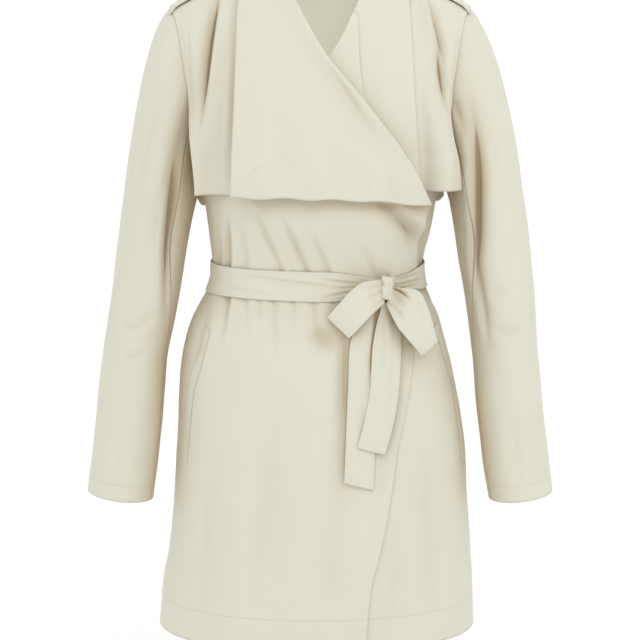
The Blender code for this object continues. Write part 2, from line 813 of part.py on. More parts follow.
def sleeve_fold_depth(side, turn, z):
    total = 0.0
    for i, row_side in enumerate(SLEEVE_FOLDS["side"]):
        if row_side != side:
            continue
        z0, z1 = SLEEVE_FOLDS["z0"][i], SLEEVE_FOLDS["z1"][i]
        ends = ease(z, z0, mix(z0, z1, 0.35)) * (1 - ease(z, mix(z0, z1, 0.65), z1))
        away = (turn - SLEEVE_FOLDS["turn"][i] + 180) % 360 - 180
        across = away / SLEEVE_FOLDS["width"][i]
        total += SLEEVE_FOLDS["depth"][i] * ends * math.exp(-(across**2))
    return total


def sleeve_ring(rows, z, turn):
    """A point of the sleeve's section at z: turn is 0 outside, 90 in front."""
    angle = math.radians(turn)
    out = Vector((math.cos(SLEEVE_LEAN), 0.0, math.sin(SLEEVE_LEAN)))
    middle = Vector((read(rows, "middle", z), -read(rows, "forward", z), z))
    return (
        middle
        + out * read(rows, "half_width", z) * math.cos(angle)
        + Vector((0.0, -1.0, 0.0)) * read(rows, "half_depth", z) * math.sin(angle)
    )


def armhole_point(turn):
    """Where the sleeve is set in: turn is 0 on the shoulder, 90 in front, 180 below."""
    angle = math.radians(turn)
    level = TOP_LEVEL * (1 + math.cos(angle)) / 2
    x = read(YOKE, "armhole_x", level)
    around = turn_at(x, level)
    point = body(around if math.sin(angle) >= 0 else math.pi - around, level)
    under = ease(-math.cos(angle), 0.5, 1.0)
    return point + Vector((SEAM_GAP + UNDERARM_GAP * under, 0.0, 0.0))


def cap_point(rows, turn, t):
    """The sleeve's cap, on a curve from the armhole (t 0) to its first section (t 1)."""
    angle = math.radians(turn)
    top = (1 + math.cos(angle)) / 2
    start = armhole_point(turn)
    end = sleeve_ring(rows, rows["z"][-1], turn)
    leave = Vector((0.25 + 0.65 * top, -0.40 * math.sin(angle), -0.95 + 0.25 * top))
    arrive = Vector((-math.sin(SLEEVE_LEAN), 0.0, math.cos(SLEEVE_LEAN)))
    first = start + leave.normalized() * mix(CAP_PULL["low"][0], CAP_PULL["top"][0], top)
    last = end + arrive * mix(CAP_PULL["low"][1], CAP_PULL["top"][1], top)
    return (
        start * (1 - t) ** 3
        + first * 3 * t * (1 - t) ** 2
        + last * 3 * t * t * (1 - t)
        + end * t**3
    )


def sleeve_point(side, turn, row):
    rows = SLEEVE_RIGHT if side < 0 else SLEEVE_LEFT
    if row <= CAP_ROWS:
        point = cap_point(rows, turn, row / CAP_ROWS)
    else:
        z = mix(rows["z"][-1], rows["z"][0], (row - CAP_ROWS) / ARM_ROWS)
        point = sleeve_ring(rows, z, turn)
    angle = math.radians(turn)
    radial = Vector((math.cos(angle), -math.sin(angle), 0.0))
    point -= radial * sleeve_fold_depth(side, turn, point.z)
    return Vector((side * point.x, point.y, point.z))


def sleeve_piece(name, collection, side, upper):
    """The upper piece goes round the outside of the arm, from the back seam to the front
    one, and the under piece closes it on the inside."""
    columns = UPPER_COLUMNS if upper else UNDER_COLUMNS

    def place(u, v):
        share = u if side > 0 else 1 - u
        row = round(v * (CAP_ROWS + ARM_ROWS))
        gap = mix(*SLEEVE_SEAM_TURN, ease(row, 0, CAP_ROWS)) / 2
        front = mix(*FRONT_SEAM_TURN, ease(row, *ELBOW_ROWS))
        start, end = (BACK_SEAM_TURN - 360, front) if upper else (front, BACK_SEAM_TURN)
        return sleeve_point(side, mix(start + gap, end - gap, share), row)

    return sheet(name, collection, columns, CAP_ROWS + ARM_ROWS, place)


def sleeves(collection):
    for side, name in ((-1, "sleeve_right"), (1, "sleeve_left")):
        sleeve_piece(name + "_upper", collection, side, True)
        sleeve_piece(name + "_under", collection, side, False)


# ---------------------------------------------------------------- epaulettes
EPAULETTE_HALF = 0.021
EPAULETTE_X = (0.106, 0.1845)
EPAULETTE_POINT = 0.010
EPAULETTE_TAPER = 0.86
EPAULETTE_LIFT = (0.0076, 0.0038)  # at the pointed end and at the armhole


def level_for_depth(x, depth, front):
    """The level on the shoulder where the cloth is this far from the shoulder seam."""
    low, high = 0.5, TOP_LEVEL
    for _ in range(40):
        level = (low + high) / 2
        turn = turn_at(x, level)
        found = abs(body(turn if front else math.pi - turn, level).y)
        low, high = (level, high) if found > depth else (low, level)
    return level


def epaulette(name, collection, side):
    def place(u, v):
        across = mix(-1, 1, v)
        out = u if side > 0 else 1 - u
        start = EPAULETTE_X[0] + EPAULETTE_POINT * abs(across)
        x = mix(start, EPAULETTE_X[1], out)
        y = across * EPAULETTE_HALF * mix(EPAULETTE_TAPER, 1.0, out)
        level = level_for_depth(x, abs(y), y < 0)
        turn = turn_at(x, level)
        angle = turn if y < 0 else math.pi - turn
        lift = mix(*EPAULETTE_LIFT, ease(out, 0.84, 1.0))
        point = body(angle, level) + outward(angle, level) * lift
        return Vector((side * point.x, point.y, point.z))

    return sheet(name, collection, 6, 4, place)


# ---------------------------------------------------------------- pocket welts
WELT_WIDTH = 0.0125
WELT_LEAN = 0.003  # its ends slant by this much either way
WELT_LIFT = 0.0019
WELTS = {
    "pocket_welt_right": table(
        "z x",
        (-0.612, -0.1710),
        (-0.563, -0.1668),
        (-0.514, -0.1603),
        (-0.477, -0.1499),
        (-0.440, -0.1397),
    ),
    "pocket_welt_left": table(
        "z x",
        (-0.612, 0.1795),
        (-0.563, 0.1750),
        (-0.514, 0.1680),
        (-0.477, 0.1570),
        (-0.440, 0.1450),
    ),
}


def pocket_welt(name, collection):
    rows = WELTS[name]

    def place(u, v):
        z = mix(rows["z"][0], rows["z"][-1], v)
        level = level_at(0.0, z)
        middle = turn_at(read(rows, "x", z), level)
        here = body(middle, level)
        small = 0.01
        speed = (body(middle + small, level) - here).length / small
        lean = WELT_LEAN * (2 * u - 1)
        turn = middle + (u - 0.5) * WELT_WIDTH / speed
        side = 1 if here.x > 0 else -1
        return cloth(turn, level + side * lean, WELT_LIFT)

    return sheet(name, collection, 2, 10, place)


# ---------------------------------------------------------------- belt
BELT_COLUMNS = 44
BELT_CROWN = 0.0012
BELT_SAG = 0.003  # at the knot
SAG_REACH = 0.08
DRAWN_WIDTH = 0.020  # at the knot, from where it widens over DRAWN_REACH
DRAWN_REACH = (-0.004, 0.060)
BUNCH = 0.0075  # how far the belt's lower edge is drawn up on the knot's left side
BUNCH_REACH = (0.070, 0.140)
METRES_PER_TURN = 0.11  # along the belt for each radian


def belt_width(from_knot):
    """The belt narrows where it is drawn into the knot, from_knot metres away."""
    return mix(DRAWN_WIDTH, BELT_WIDTH, ease(from_knot, *DRAWN_REACH))


def belt_band(collection):
    level = level_at(0.0, BELT_Z)
    beside_knot = KNOT_HALF[0] + 2 * SEAM_GAP
    start = turn_under(KNOT_X + beside_knot, level, BELT_LIFT)
    end = turn_under(KNOT_X - beside_knot, level, BELT_LIFT) + 2 * math.pi

    def place(u, v):
        turn = mix(start, end, u)
        from_knot = min(turn - start, end - turn) * METRES_PER_TURN
        middle_z = BELT_Z - BELT_SAG * math.exp(-((from_knot / SAG_REACH) ** 2))
        z = middle_z + (v - 0.5) * belt_width(from_knot)
        bunched = 1 - ease((turn - start) * METRES_PER_TURN, *BUNCH_REACH)
        z += BUNCH * (1 - v) * bunched
        crown = BELT_CROWN * math.sin(math.pi * v)
        return cloth(turn, z - ARMPIT_Z, BELT_LIFT + crown, 0.0, 0.0)

    return sheet("belt_band", collection, BELT_COLUMNS, 3, place)


KNOT_BALL = 1.18
KNOT_SOFTNESS = 0.62
KNOT_WAIST = 0.12


def belt_knot(collection):
    """A rounded lump drawn in at its waist, its back laid on the front."""
    mesh = bpy.data.meshes.new("belt_knot")
    lump = bmesh.new()
    bmesh.ops.create_cube(lump, size=2.0)
    bmesh.ops.subdivide_edges(lump, edges=lump.edges[:], cuts=3, use_grid_fill=True)
    for vertex in lump.verts:
        ball = vertex.co.normalized() * KNOT_BALL
        soft = vertex.co.lerp(ball, KNOT_SOFTNESS)
        waist = 1 - KNOT_WAIST * math.cos(soft.z * 2.2)
        across = KNOT_X + soft.x * KNOT_HALF[0] * waist
        lift = mix(*KNOT_LIFT, (soft.y * -0.5 + 0.5))
        vertex.co = over_front(across, KNOT_Z + soft.z * KNOT_HALF[1], lift)
    bmesh.ops.recalc_face_normals(lump, faces=lump.faces[:])
    lump.to_mesh(mesh)
    lump.free()
    return finish(bpy.data.objects.new("belt_knot", mesh), collection)


# Each loop by its upper and lower edges on the front, as (x, z): where each leaves the
# knot, the two places that it bends towards, and where it turns back. A loop's back leaf
# lies at back_lift and its front leaf bulges out from there.
LOOPS = {
    "bow_loop_right": {
        "root": ((0.0726, -0.3735), (0.0726, -0.4045)),
        "leave": ((0.0580, -0.3680), (0.0612, -0.4175)),
        "bend": ((0.0530, -0.3650), (0.0490, -0.4325)),
        "end": ((0.0105, -0.4190), (0.0372, -0.4440)),
        "back_lift": 0.0078,
        "bulge": 0.0110,
        "left": True,
    },
    "bow_loop_left": {
        "root": ((0.0945, -0.3890), (0.0890, -0.4140)),
        "leave": ((0.1080, -0.3880), (0.0950, -0.4230)),
        "bend": ((0.1400, -0.3850), (0.1080, -0.4440)),
        "end": ((0.1445, -0.4500), (0.1235, -0.4640)),
        "back_lift": 0.0078,
        "bulge": 0.0120,
        "left": False,
    },
}
LEAF_COLUMNS = 6
END_COLUMNS = 4
END_RADIUS = 0.0026
LOOP_WIDEN = 0.06  # the left loop stands off the hip
LOOP_WIDEN_X = (0.085, 0.140)


def edge_curve(loop, edge, t):
    """A curve along one edge of a loop, from the knot to its end."""
    root, leave, bend, end = (Vector(loop[name][edge]) for name in ("root", "leave", "bend", "end"))
    return (
        root * (1 - t) ** 3
        + leave * 3 * t * (1 - t) ** 2
        + bend * 3 * t * t * (1 - t)
        + end * t**3
    )


def bow_loop(name, collection):
    loop = LOOPS[name]
    columns = 2 * LEAF_COLUMNS + END_COLUMNS

    def place(u, v):
        column = round((1 - u if loop["left"] else u) * columns)
        past_end = min(max(column - LEAF_COLUMNS, 0), END_COLUMNS) / END_COLUMNS
        leaf = min(column, columns - column, LEAF_COLUMNS) / LEAF_COLUMNS
        place_on_edge = edge_curve(loop, 1, leaf).lerp(edge_curve(loop, 0, leaf), v)
        further = edge_curve(loop, 1, leaf - 0.05).lerp(edge_curve(loop, 0, leaf - 0.05), v)
        heading = (place_on_edge - further).normalized()
        gape = 2 * END_RADIUS + loop["bulge"] * math.sin(math.pi * min(leaf, 1.0)) ** 0.8
        middle = loop["back_lift"] + gape / 2
        if 0 < past_end < 1:
            angle = math.pi * (0.5 - past_end)
            place_on_edge = place_on_edge + heading * END_RADIUS * math.cos(angle)
            lift = middle + gape / 2 * math.sin(angle)
        else:
            lift = middle + (gape / 2 if past_end == 0 else -gape / 2)
        x, z = place_on_edge
        return over_front(x, z, lift, LOOP_WIDEN * ease(x, *LOOP_WIDEN_X))

    return sheet(name, collection, columns, 3, place)


TAILS = {
    "belt_tail_front": (
        0.0086,
        table(
            "z left right",
            (-0.583, 0.0455, 0.0800),
            (-0.548, 0.0535, 0.0910),
            (-0.509, 0.0610, 0.0972),
            (-0.461, 0.0640, 0.1000),
            (-0.436, 0.0680, 0.0985),
            (-0.420, 0.0722, 0.0895),
            (-0.4052, 0.0765, 0.0845),
        ),
    ),
    "belt_tail_back": (
        0.0058,
        table(
            "z left right",
            (-0.627, 0.0297, 0.0660),
            (-0.560, 0.0320, 0.0690),
            (-0.500, 0.0345, 0.0715),
            (-0.4475, 0.0378, 0.0725),
            (-0.4240, 0.0500, 0.0740),
            (-0.4052, 0.0700, 0.0800),
        ),
    ),
}
TAIL_SLANT = 0.010
TAIL_CROWN = 0.0010


def belt_tail(name, collection):
    lift, rows = TAILS[name]

    def place(u, v):
        z = mix(rows["z"][0], rows["z"][-1], v)
        x = mix(read(rows, "left", z), read(rows, "right", z), u)
        z -= TAIL_SLANT * (u - 0.5) * (1 - ease(v, 0.0, 0.2))
        crown = TAIL_CROWN * math.sin(math.pi * u)
        return over_front(x, z, lift + crown)

    return sheet(name, collection, 3, 12, place)


# ---------------------------------------------------------------- build
def main():
    clear_scene()
    jacket = bpy.data.collections.new("belted_jacket")
    bpy.context.scene.collection.children.link(jacket)
    front_right(jacket)
    front_left(jacket)
    back(jacket)
    for name in FLAPS:
        storm_flap(name, jacket)
    storm_flap_back(jacket)
    for name in LAPELS:
        lapel(name, jacket)
    lapel_left_facing(jacket)
    collar_back(jacket)
    sleeves(jacket)
    epaulette("epaulette_right", jacket, -1)
    epaulette("epaulette_left", jacket, 1)
    for name in WELTS:
        pocket_welt(name, jacket)
    belt_band(jacket)
    belt_knot(jacket)
    for name in LOOPS:
        bow_loop(name, jacket)
    for name in TAILS:
        belt_tail(name, jacket)


main()
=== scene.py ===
"""The looks of a belted wrap jacket in cream crepe: every piece of cloth as a thin shell.

Metres, +Z up. The front faces -Y and the wearer's left is +X. Each piece follows the form
of its solid, with the creases, stitching and weave that the cloth has.
"""

import math

import bpy
import numpy as np
from mathutils.bvhtree import BVHTree
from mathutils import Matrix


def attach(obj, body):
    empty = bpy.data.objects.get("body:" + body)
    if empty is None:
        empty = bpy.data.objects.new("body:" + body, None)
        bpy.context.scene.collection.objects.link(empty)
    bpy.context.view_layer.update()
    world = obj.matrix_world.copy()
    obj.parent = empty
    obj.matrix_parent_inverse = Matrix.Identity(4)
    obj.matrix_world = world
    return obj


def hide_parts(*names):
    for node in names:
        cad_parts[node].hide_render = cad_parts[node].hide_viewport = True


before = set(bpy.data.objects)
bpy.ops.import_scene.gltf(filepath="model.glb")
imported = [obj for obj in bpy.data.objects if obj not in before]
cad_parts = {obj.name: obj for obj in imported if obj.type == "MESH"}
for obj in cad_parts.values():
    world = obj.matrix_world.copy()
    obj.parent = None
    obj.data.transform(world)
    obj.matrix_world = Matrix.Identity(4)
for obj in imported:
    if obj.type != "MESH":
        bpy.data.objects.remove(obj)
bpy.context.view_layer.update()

# ---- sizes of the jacket
WALL = 0.0010
STRAP_WALL = 0.0014
SEAM = 0.00002  # half of the gap in a seam
LAYER = 0.0018
NECK_HALF = 0.075
NECK_RISE = 0.012
BACK_NECK_DROP = 0.018
SHOULDER_FALL = 0.047 / 0.112
ROUNDNESS = 2.3
YOKE_CURVE = 2.6
SIDE_TURN = math.pi / 2 - 0.0006
TOP_LEVEL = 0.999998
BELT_Z = -0.381
BELT_WIDTH = 0.038
BELT_LIFT = 0.0047
KNOT_X = 0.083
KNOT_Z = -0.3855


def numbers(text):
    return np.array([line.split() for line in text.strip().splitlines()], float)


def table(columns, text):
    """Rows of named columns in millimetres, but for shares. The first column is what the
    others are read along."""
    rows = numbers(text)
    names = columns.split()
    return {n: rows[:, i] / (1 if n in ("level", "run") else 1000) for i, n in enumerate(names)}


BODY = table("z half_width front back middle", """
-835 205.5 136 136 -4.5
-780 201.5 132 136 -3.5
-739 195.5 129 136 -1
-661 188.5 124 134 -0.3
-597 184.5 121 131 0.6
-544 180 118 127 -1.9
-487 171.2 113 118 -5.5
-440 158.6 105 105 -6.5
-400 140 96 90 -3.4
-381 133 93 85 -3
-360 133.9 95 86 -2.8
-327 139.4 102 94 -1.5
-292 145 109 101 0
-250 149.5 113 105 0
-222 153 113 106 0
""")
YOKE = table("level half_width armhole_x", """
0 153 153
0.1 161 153.5
0.26 173 157.5
0.52 186 164
0.77 196 171.5
0.93 202 179.2
1 204 187
""")
RIGHT_ROLL = table("z x", """
-281.5 121.5
-267 116
-252 110.5
-226 98.5
-202 85
-150 46
-107 9.5
-77 -10
-37 -34
0 -72
""")
RIGHT_EDGE = table("z x", """
-835 56
-753 64
-708 75.3
-639 88
-588 94.5
-527 106.5
-481 113.5
-440 117
-398 119
-360 119
-320 120
-281.5 121.5
""")
LEFT_ROLL = table("z x", """
-281.5 -90
-202 -64
-150 -25
-107 9.5
-77 29
-37 47
0 72
""")
LEFT_EDGE = table("z x", """
-835 -30
-600 -55
-398 -75
-281.5 -90
""")

ARMPIT_Z = BODY["z"][-1]
CHEST_FRONT, CHEST_BACK = BODY["front"][-1], BODY["back"][-1]
HEM_Z = BODY["z"][0]
TIP_Z = RIGHT_ROLL["z"][0]


# ---- reading the tables
def read(rows, name, at):
    """One column's values at places along the first column, on a smooth curve."""
    keys, values = next(iter(rows.values())), rows[name]
    at = np.clip(at, keys[0], keys[-1])
    i = np.clip(np.searchsorted(keys, at, side="right") - 1, 0, len(keys) - 2)
    slopes = np.empty(len(keys))
    slopes[1:-1] = (values[2:] - values[:-2]) / (keys[2:] - keys[:-2])
    slopes[0] = (values[1] - values[0]) / (keys[1] - keys[0])
    slopes[-1] = (values[-1] - values[-2]) / (keys[-1] - keys[-2])
    span = keys[i + 1] - keys[i]
    t = (at - keys[i]) / span
    smooth = t * t * (3 - 2 * t)
    bend = slopes[i] * t * (1 - t) ** 2 - slopes[i + 1] * t * t * (1 - t)
    return values[i] * (1 - smooth) + values[i + 1] * smooth + span * bend


def keys_at(rows, share):
    """From the first place to the last one of the column that the others are read along."""
    keys = next(iter(rows.values()))
    return mix(keys[0], keys[-1], share)


def ease(value, low, high):
    """0 up to low, 1 from high, and a smooth step between them."""
    t = np.clip((value - low) / (high - low), 0.0, 1.0)
    return t * t * (3 - 2 * t)


def fade(value, low, high):
    return 1 - ease(value, low, high)


def mix(a, b, t):
    return a * (1 - t) + b * t


def bell(value):
    return np.exp(-(value**2))


# ---- the body's surface
def ridge_z(x):
    """Height of the shoulder seam, and of the line that closes it over the neck."""
    from_middle = np.abs(x)
    over_neck = NECK_RISE * (1 - (from_middle / NECK_HALF) ** 2)
    return np.where(from_middle < NECK_HALF, over_neck, -SHOULDER_FALL * (from_middle - NECK_HALF))


def height(x, level):
    """A level is metres below the armpit, under 0, or the share of the way up from there
    to the shoulder seam."""
    return np.where(level <= 0, ARMPIT_Z + level, mix(ARMPIT_Z, ridge_z(x), level))


def level_at(x, z):
    below = z - ARMPIT_Z
    return np.where(below <= 0, below, np.minimum(below / (ridge_z(x) - ARMPIT_Z), TOP_LEVEL))


def section(level):
    """Half width, front depth, back depth and middle of the body at a level."""
    low = level <= 0
    z = ARMPIT_Z + np.minimum(level, 0.0)
    up = np.clip(level, 0.0, 1.0)
    share = np.sqrt(np.maximum(1 - up**YOKE_CURVE, 0.0))
    return (
        np.where(low, read(BODY, "half_width", z), read(YOKE, "half_width", up)),
        np.where(low, read(BODY, "front", z), CHEST_FRONT * share),
        np.where(low, read(BODY, "back", z), CHEST_BACK * share),
        np.where(low, read(BODY, "middle", z), 0.0),
    )


def turn_at(x, level, widen=0.0):
    half, _, _, middle = section(level)
    share = np.clip((x - middle) / (half + widen), -1.0, 1.0)
    return np.sign(share) * np.arcsin(np.abs(share) ** (ROUNDNESS / 2))


def body(turn, level, widen=0.0):
    """Places on the bare surface: turn is 0 at the front, 90 degrees at the wearer's left,
    and widen flattens the curve, as on a piece that hangs clear of the sides."""
    half, front, back, middle = section(level)
    across, along = np.sin(turn), np.cos(turn)
    x = middle + np.sign(across) * (half + widen) * np.abs(across) ** (2 / ROUNDNESS)
    depth = np.where(along > 0, front, back)
    y = -np.sign(along) * depth * np.abs(along) ** (2 / ROUNDNESS)
    return np.stack([x, y, height(x, level)], -1)


def level_beside(level, move):
    up = np.clip(level, 0.0, 1.0)
    rise = np.arcsin(up ** (YOKE_CURVE / 2)) + move
    over = np.sin(np.clip(rise, 0.0, math.pi / 2)) ** (2 / YOKE_CURVE)
    return np.where(level <= 0, level + move, over)


def unit(vectors):
    return vectors / np.maximum(np.linalg.norm(vectors, axis=-1, keepdims=True), 1e-12)


def outward(turn, level, widen=0.0):
    small = 0.004
    around = body(turn + small, level, widen) - body(turn - small, level, widen)
    above, below = level_beside(level, small), level_beside(level, -small)
    return unit(np.cross(around, body(turn, above, widen) - body(turn, below, widen)))


def cloth(turn, level, lift, widen=0.0):
    """Places on cloth that lies lift metres out from the body's bare surface."""
    lift = np.broadcast_to(np.asarray(lift, float), np.shape(turn))
    return body(turn, level, widen) + outward(turn, level, widen) * lift[..., None]


def front_cloth(x, z, lift, widen=0.0):
    level = level_at(x, z)
    return cloth(turn_at(x, level, widen), level, lift, widen)


def over_front(x, z, lift, widen=0.0):
    """Cloth over the front, whose x is where it ends up with its lift."""
    level = level_at(x, z)
    lean = outward(turn_at(x, level, widen), level, widen)[..., 0]
    return cloth(turn_at(x - lean * lift, level, widen), level, lift, widen)


# ---- creases
CURVE_STEPS = 22
CREASE_REACH = 3.2  # of its width


def crease_rows(text, across=1.0):
    """Creases, one to a row: a first, a middle and a last place (a, b), depth, width, lip and
    painted shade. Lengths are in millimetres, and a is in units of across millimetres."""
    rows = numbers(text)
    rows[:, :6:2] *= across
    rows[:, :8] /= 1000
    return rows


def bent(first, middle, last):
    t = np.linspace(0.0, 1.0, CURVE_STEPS)
    pull = 2 * middle - (first + last) / 2
    return first * (1 - t) ** 2 + 2 * pull * t * (1 - t) + last * t * t


def creases(rows, a, b, late=0.0):
    """Depth and painted shade at places (a, b). A crease has a ridge along its left side, or its
    right where lip is under 0, as a share of its depth. Its painted shade is how far the cloth is
    painted darker for the crease's shade, in a thin line and in a softer band on the side away from
    the ridge; a row with no depth paints only shade, as of a cast shadow. Where it is late, that
    comes in over this share of its length."""
    depths, painted_shades = np.zeros(np.shape(a)), np.zeros(np.shape(a))
    for a0, b0, am, bm, a1, b1, depth, width, lip, painted_shade in rows:
        line_a, line_b = bent(a0, am, a1), bent(b0, bm, b1)
        reach = CREASE_REACH * width
        near = (a > line_a.min() - reach) & (a < line_a.max() + reach)
        near &= (b > line_b.min() - reach) & (b < line_b.max() + reach)
        if not near.any():
            continue
        pa, pb = a[near][:, None], b[near][:, None]
        step_a, step_b = np.diff(line_a)[None], np.diff(line_b)[None]
        along = (pa - line_a[:-1]) * step_a + (pb - line_b[:-1]) * step_b
        along = np.clip(along / (step_a**2 + step_b**2), 0, 1)
        off_a, off_b = pa - line_a[:-1] - along * step_a, pb - line_b[:-1] - along * step_b
        gap = off_a**2 + off_b**2
        pick = gap.argmin(1)
        rank = np.arange(len(pick))
        side = np.sign(step_a[0, pick] * off_b[rank, pick] - step_b[0, pick] * off_a[rank, pick])
        away = side * np.sqrt(gap[rank, pick]) / width * (1 if lip >= 0 else -1)
        place = (pick + along[rank, pick]) / (CURVE_STEPS - 1)
        ends = ease(place, 0.0, 0.45) * fade(place, 0.60, 1.0)
        fold = bell(away) + 0.25 * bell(away / 0.40)
        depths[near] += depth * ends * (fold - abs(lip) * bell((away - 1.7) / 0.9))
        if late and lip:
            ends = ends * ease(place, 0.05, late)
        band = np.where(away > 0, 0.7, 1.8) if lip else 1.2
        line = bell(away / 0.32) if lip else 0.0
        painted_shades[near] += painted_shade * ends * (0.55 * line + 0.30 * bell(away / band))
    return depths, painted_shades


def ripple(a, b, size, seed):
    """Slow uneven waves of the cloth, from -1 to 1, each about size metres long."""
    pick = np.random.default_rng(seed)
    total = np.zeros(np.shape(a))
    for _ in range(9):
        way = pick.uniform(0, 2 * math.pi)
        rate = 2 * math.pi / (size * pick.uniform(0.7, 1.6))
        total += np.sin((a * math.cos(way) + b * math.sin(way)) * rate + pick.uniform(0, 6.3))
    return total / 4.5


# ---- making the pieces
PIECES = {}
GRIDS = {}


def cloth_piece(name, columns, rows, form, *parts, wall=WALL):
    """A shell of columns x rows quads, with the node's name and -look. Its form is a function of u,
    v and the piece's own parts that gives places and painted shade. The map holds metres along the
    cloth, and the attributes how far each place is from each edge and how much painted shade
    darkens it there."""
    u, v = np.meshgrid(np.linspace(0, 1, columns + 1), np.linspace(0, 1, rows + 1))
    points, painted_shade = form(u, v, *parts)
    steps_u = np.linalg.norm(np.diff(points, axis=1), axis=-1)
    steps_v = np.linalg.norm(np.diff(points, axis=0), axis=-1)
    along = np.pad(np.cumsum(steps_u, 1), ((0, 0), (1, 0)))
    up = np.pad(np.cumsum(steps_v, 0), ((1, 0), (0, 0)))
    mid = along - along[:, columns // 2 : columns // 2 + 1]
    mesh = bpy.data.meshes.new(name)
    mesh.from_pydata(points.reshape(-1, 3).tolist(), [], quads_of(points).tolist())
    layer = mesh.uv_layers.new(name="cloth")
    corner = np.empty(len(mesh.loops), int)
    mesh.loops.foreach_get("vertex_index", corner)
    layer.data.foreach_set("uv", np.stack([mid, up], -1).reshape(-1, 2)[corner].ravel())
    attribute(mesh, "from_low", up)
    attribute(mesh, "from_top", up[-1:] - up)
    attribute(mesh, "from_left", along)
    attribute(mesh, "from_right", along[:, -1:] - along)
    attribute(mesh, "painted_shade", np.clip(painted_shade, 0.0, 1.0))
    mesh.shade_smooth()
    piece = bpy.data.objects.new(name + "-look", mesh)
    bpy.context.scene.collection.objects.link(piece)
    shell = piece.modifiers.new("Wall", "SOLIDIFY")
    shell.thickness = wall
    shell.offset = -1.0
    PIECES[name], GRIDS[name] = piece, points


def quads_of(points):
    index = np.arange(points[..., 0].size).reshape(points.shape[:2])
    corners = index[:-1, :-1], index[:-1, 1:], index[1:, 1:], index[1:, :-1]
    return np.stack(corners, -1).reshape(-1, 4)


def attribute(mesh, label, values):
    mesh.attributes.new(label, "FLOAT", "POINT").data.foreach_set("value", values.ravel())


# ---- body panels
YOKE_REACH = 0.27  # length of cloth from the armpit's level over to the shoulder seam


def rising_level(v, low):
    """Levels for rows that start low metres under the armpit and end on the shoulder."""
    split = low / (low + YOKE_REACH)
    rise = math.pi / 2 * np.clip((v - split) / (1 - split), 0.0, 1.0) ** 1.35
    over = np.minimum(np.sin(rise) ** (2 / YOKE_CURVE), TOP_LEVEL)
    return np.where(v < split, -low * (1 - v / max(split, 1e-6)), over)


def armhole_turn(level):
    cut = read(YOKE, "armhole_x", np.clip(level, 0.0, 1.0)) - SEAM
    return np.where(level <= 0, SIDE_TURN, np.minimum(turn_at(cut, level), SIDE_TURN))


def edge_turn(roll, edge, level):
    """Turn of a front's rolled or free edge at each level."""
    x = np.zeros(np.shape(level))
    for _ in range(14):
        x = read(roll, "x", height(x, level))
    free = read(edge, "x", ARMPIT_Z + np.minimum(level, 0.0))
    return turn_at(np.where(height(0.0, level) < TIP_Z, free, x), level)


OVERLAP_X = (-0.135, -0.085)  # where the right front comes to lie on the left one
OVERLAP_LIFT, CHEST_LIFT, SIDE_LIFT = 0.0023, 0.0108, 0.0036


def right_front_lift(x, z):
    """The right front lies on the left front and, at the chest, on the left lapel."""
    chest = ease(z, -0.350, -0.285) * (1 - 0.85 * ease(z, -0.070, 0.0))
    side = SIDE_LIFT * ease(x, 0.070, 0.115)
    return ease(x, *OVERLAP_X) * mix(OVERLAP_LIFT, CHEST_LIFT + side, chest)


# Rows with no depth paint only shade: beside the right lapel's tip, and the shadows of the bow and
# its tails on the front.
FRONT_CREASES = crease_rows("""
-112 -290 -112.8 -330 -115 -400 5.4 4.4 0.55 0.75
-86 -274 -65 -318 -36 -400 4 5.4 0.55 0.25
-51 -286 -31 -328 -4 -400 3.8 5 0.55 0.32
-15 -306 0 -340 23 -400 2.8 4.6 0.5 0.2
-68 -292 -48 -330 -20 -400 1.4 3.6 0.4 0.08
60 -270 98.5 -306 124 -348 8.4 7.4 0.3 0.42
36 -268 93 -299 122 -342 0 9.5 0 1.4
96 -292 111 -316 126 -336 0 14 0 0.4
45 -335 60 -355 78 -400 1.8 5 0.3 0.08
-130 -318 -127 -345 -127.5 -400 2.6 4 0.3 0.3
-96 -300 -93 -335 -88 -400 1.8 4.5 0.3 0.08
-125.5 -462 -116 -410 -108 -364 4.2 4.4 -0.45 0.65
-88.5 -450 -90.5 -412 -92.5 -364 2 4.4 -0.4 0.16
-75 -436 -74 -408 -73.5 -364 1.6 3.4 -0.35 0.16
-55.5 -486 -56.5 -422 -56 -366 2.4 5.4 -0.45 0.15
-33.5 -448 -32 -414 -34 -366 1.6 4.2 -0.4 0.1
3 -492 -5 -426 -9 -368 2.4 6 -0.45 0.14
23 -446 19 -414 15 -368 1.6 4.4 -0.35 0.1
-160 -500 -150 -446 -136 -396 2.8 8 -0.35 0.1
-14 -430 3.5 -443 24 -460 0 9.5 0 2.3
33 -400 29 -480 27 -680 0 7.5 0 2.6
-50 -480 -70 -640 -95 -850 6 32 0.5 0.1
25 -520 15 -680 -5 -850 4 26 0.6 0.06
-133 -560 -146 -700 -158 -850 4.5 22 0.4 0.1
88 -430 82 -560 52 -800 2.2 14 0.4 0.06
98.5 -440 112 -456 131 -476 0 3.6 0 2
""")
LEFT_CREASES = crease_rows("""
133 -292 129 -325 125 -400 3.2 5.5 0.35 0.45
144 -462 136 -420 127 -364 3.5 6.5 -0.35 0.35
129 -520 140 -680 145 -850 6 22 0.5 0.15
96 -640 92 -740 86 -850 3 14 0.4 0.1
""")
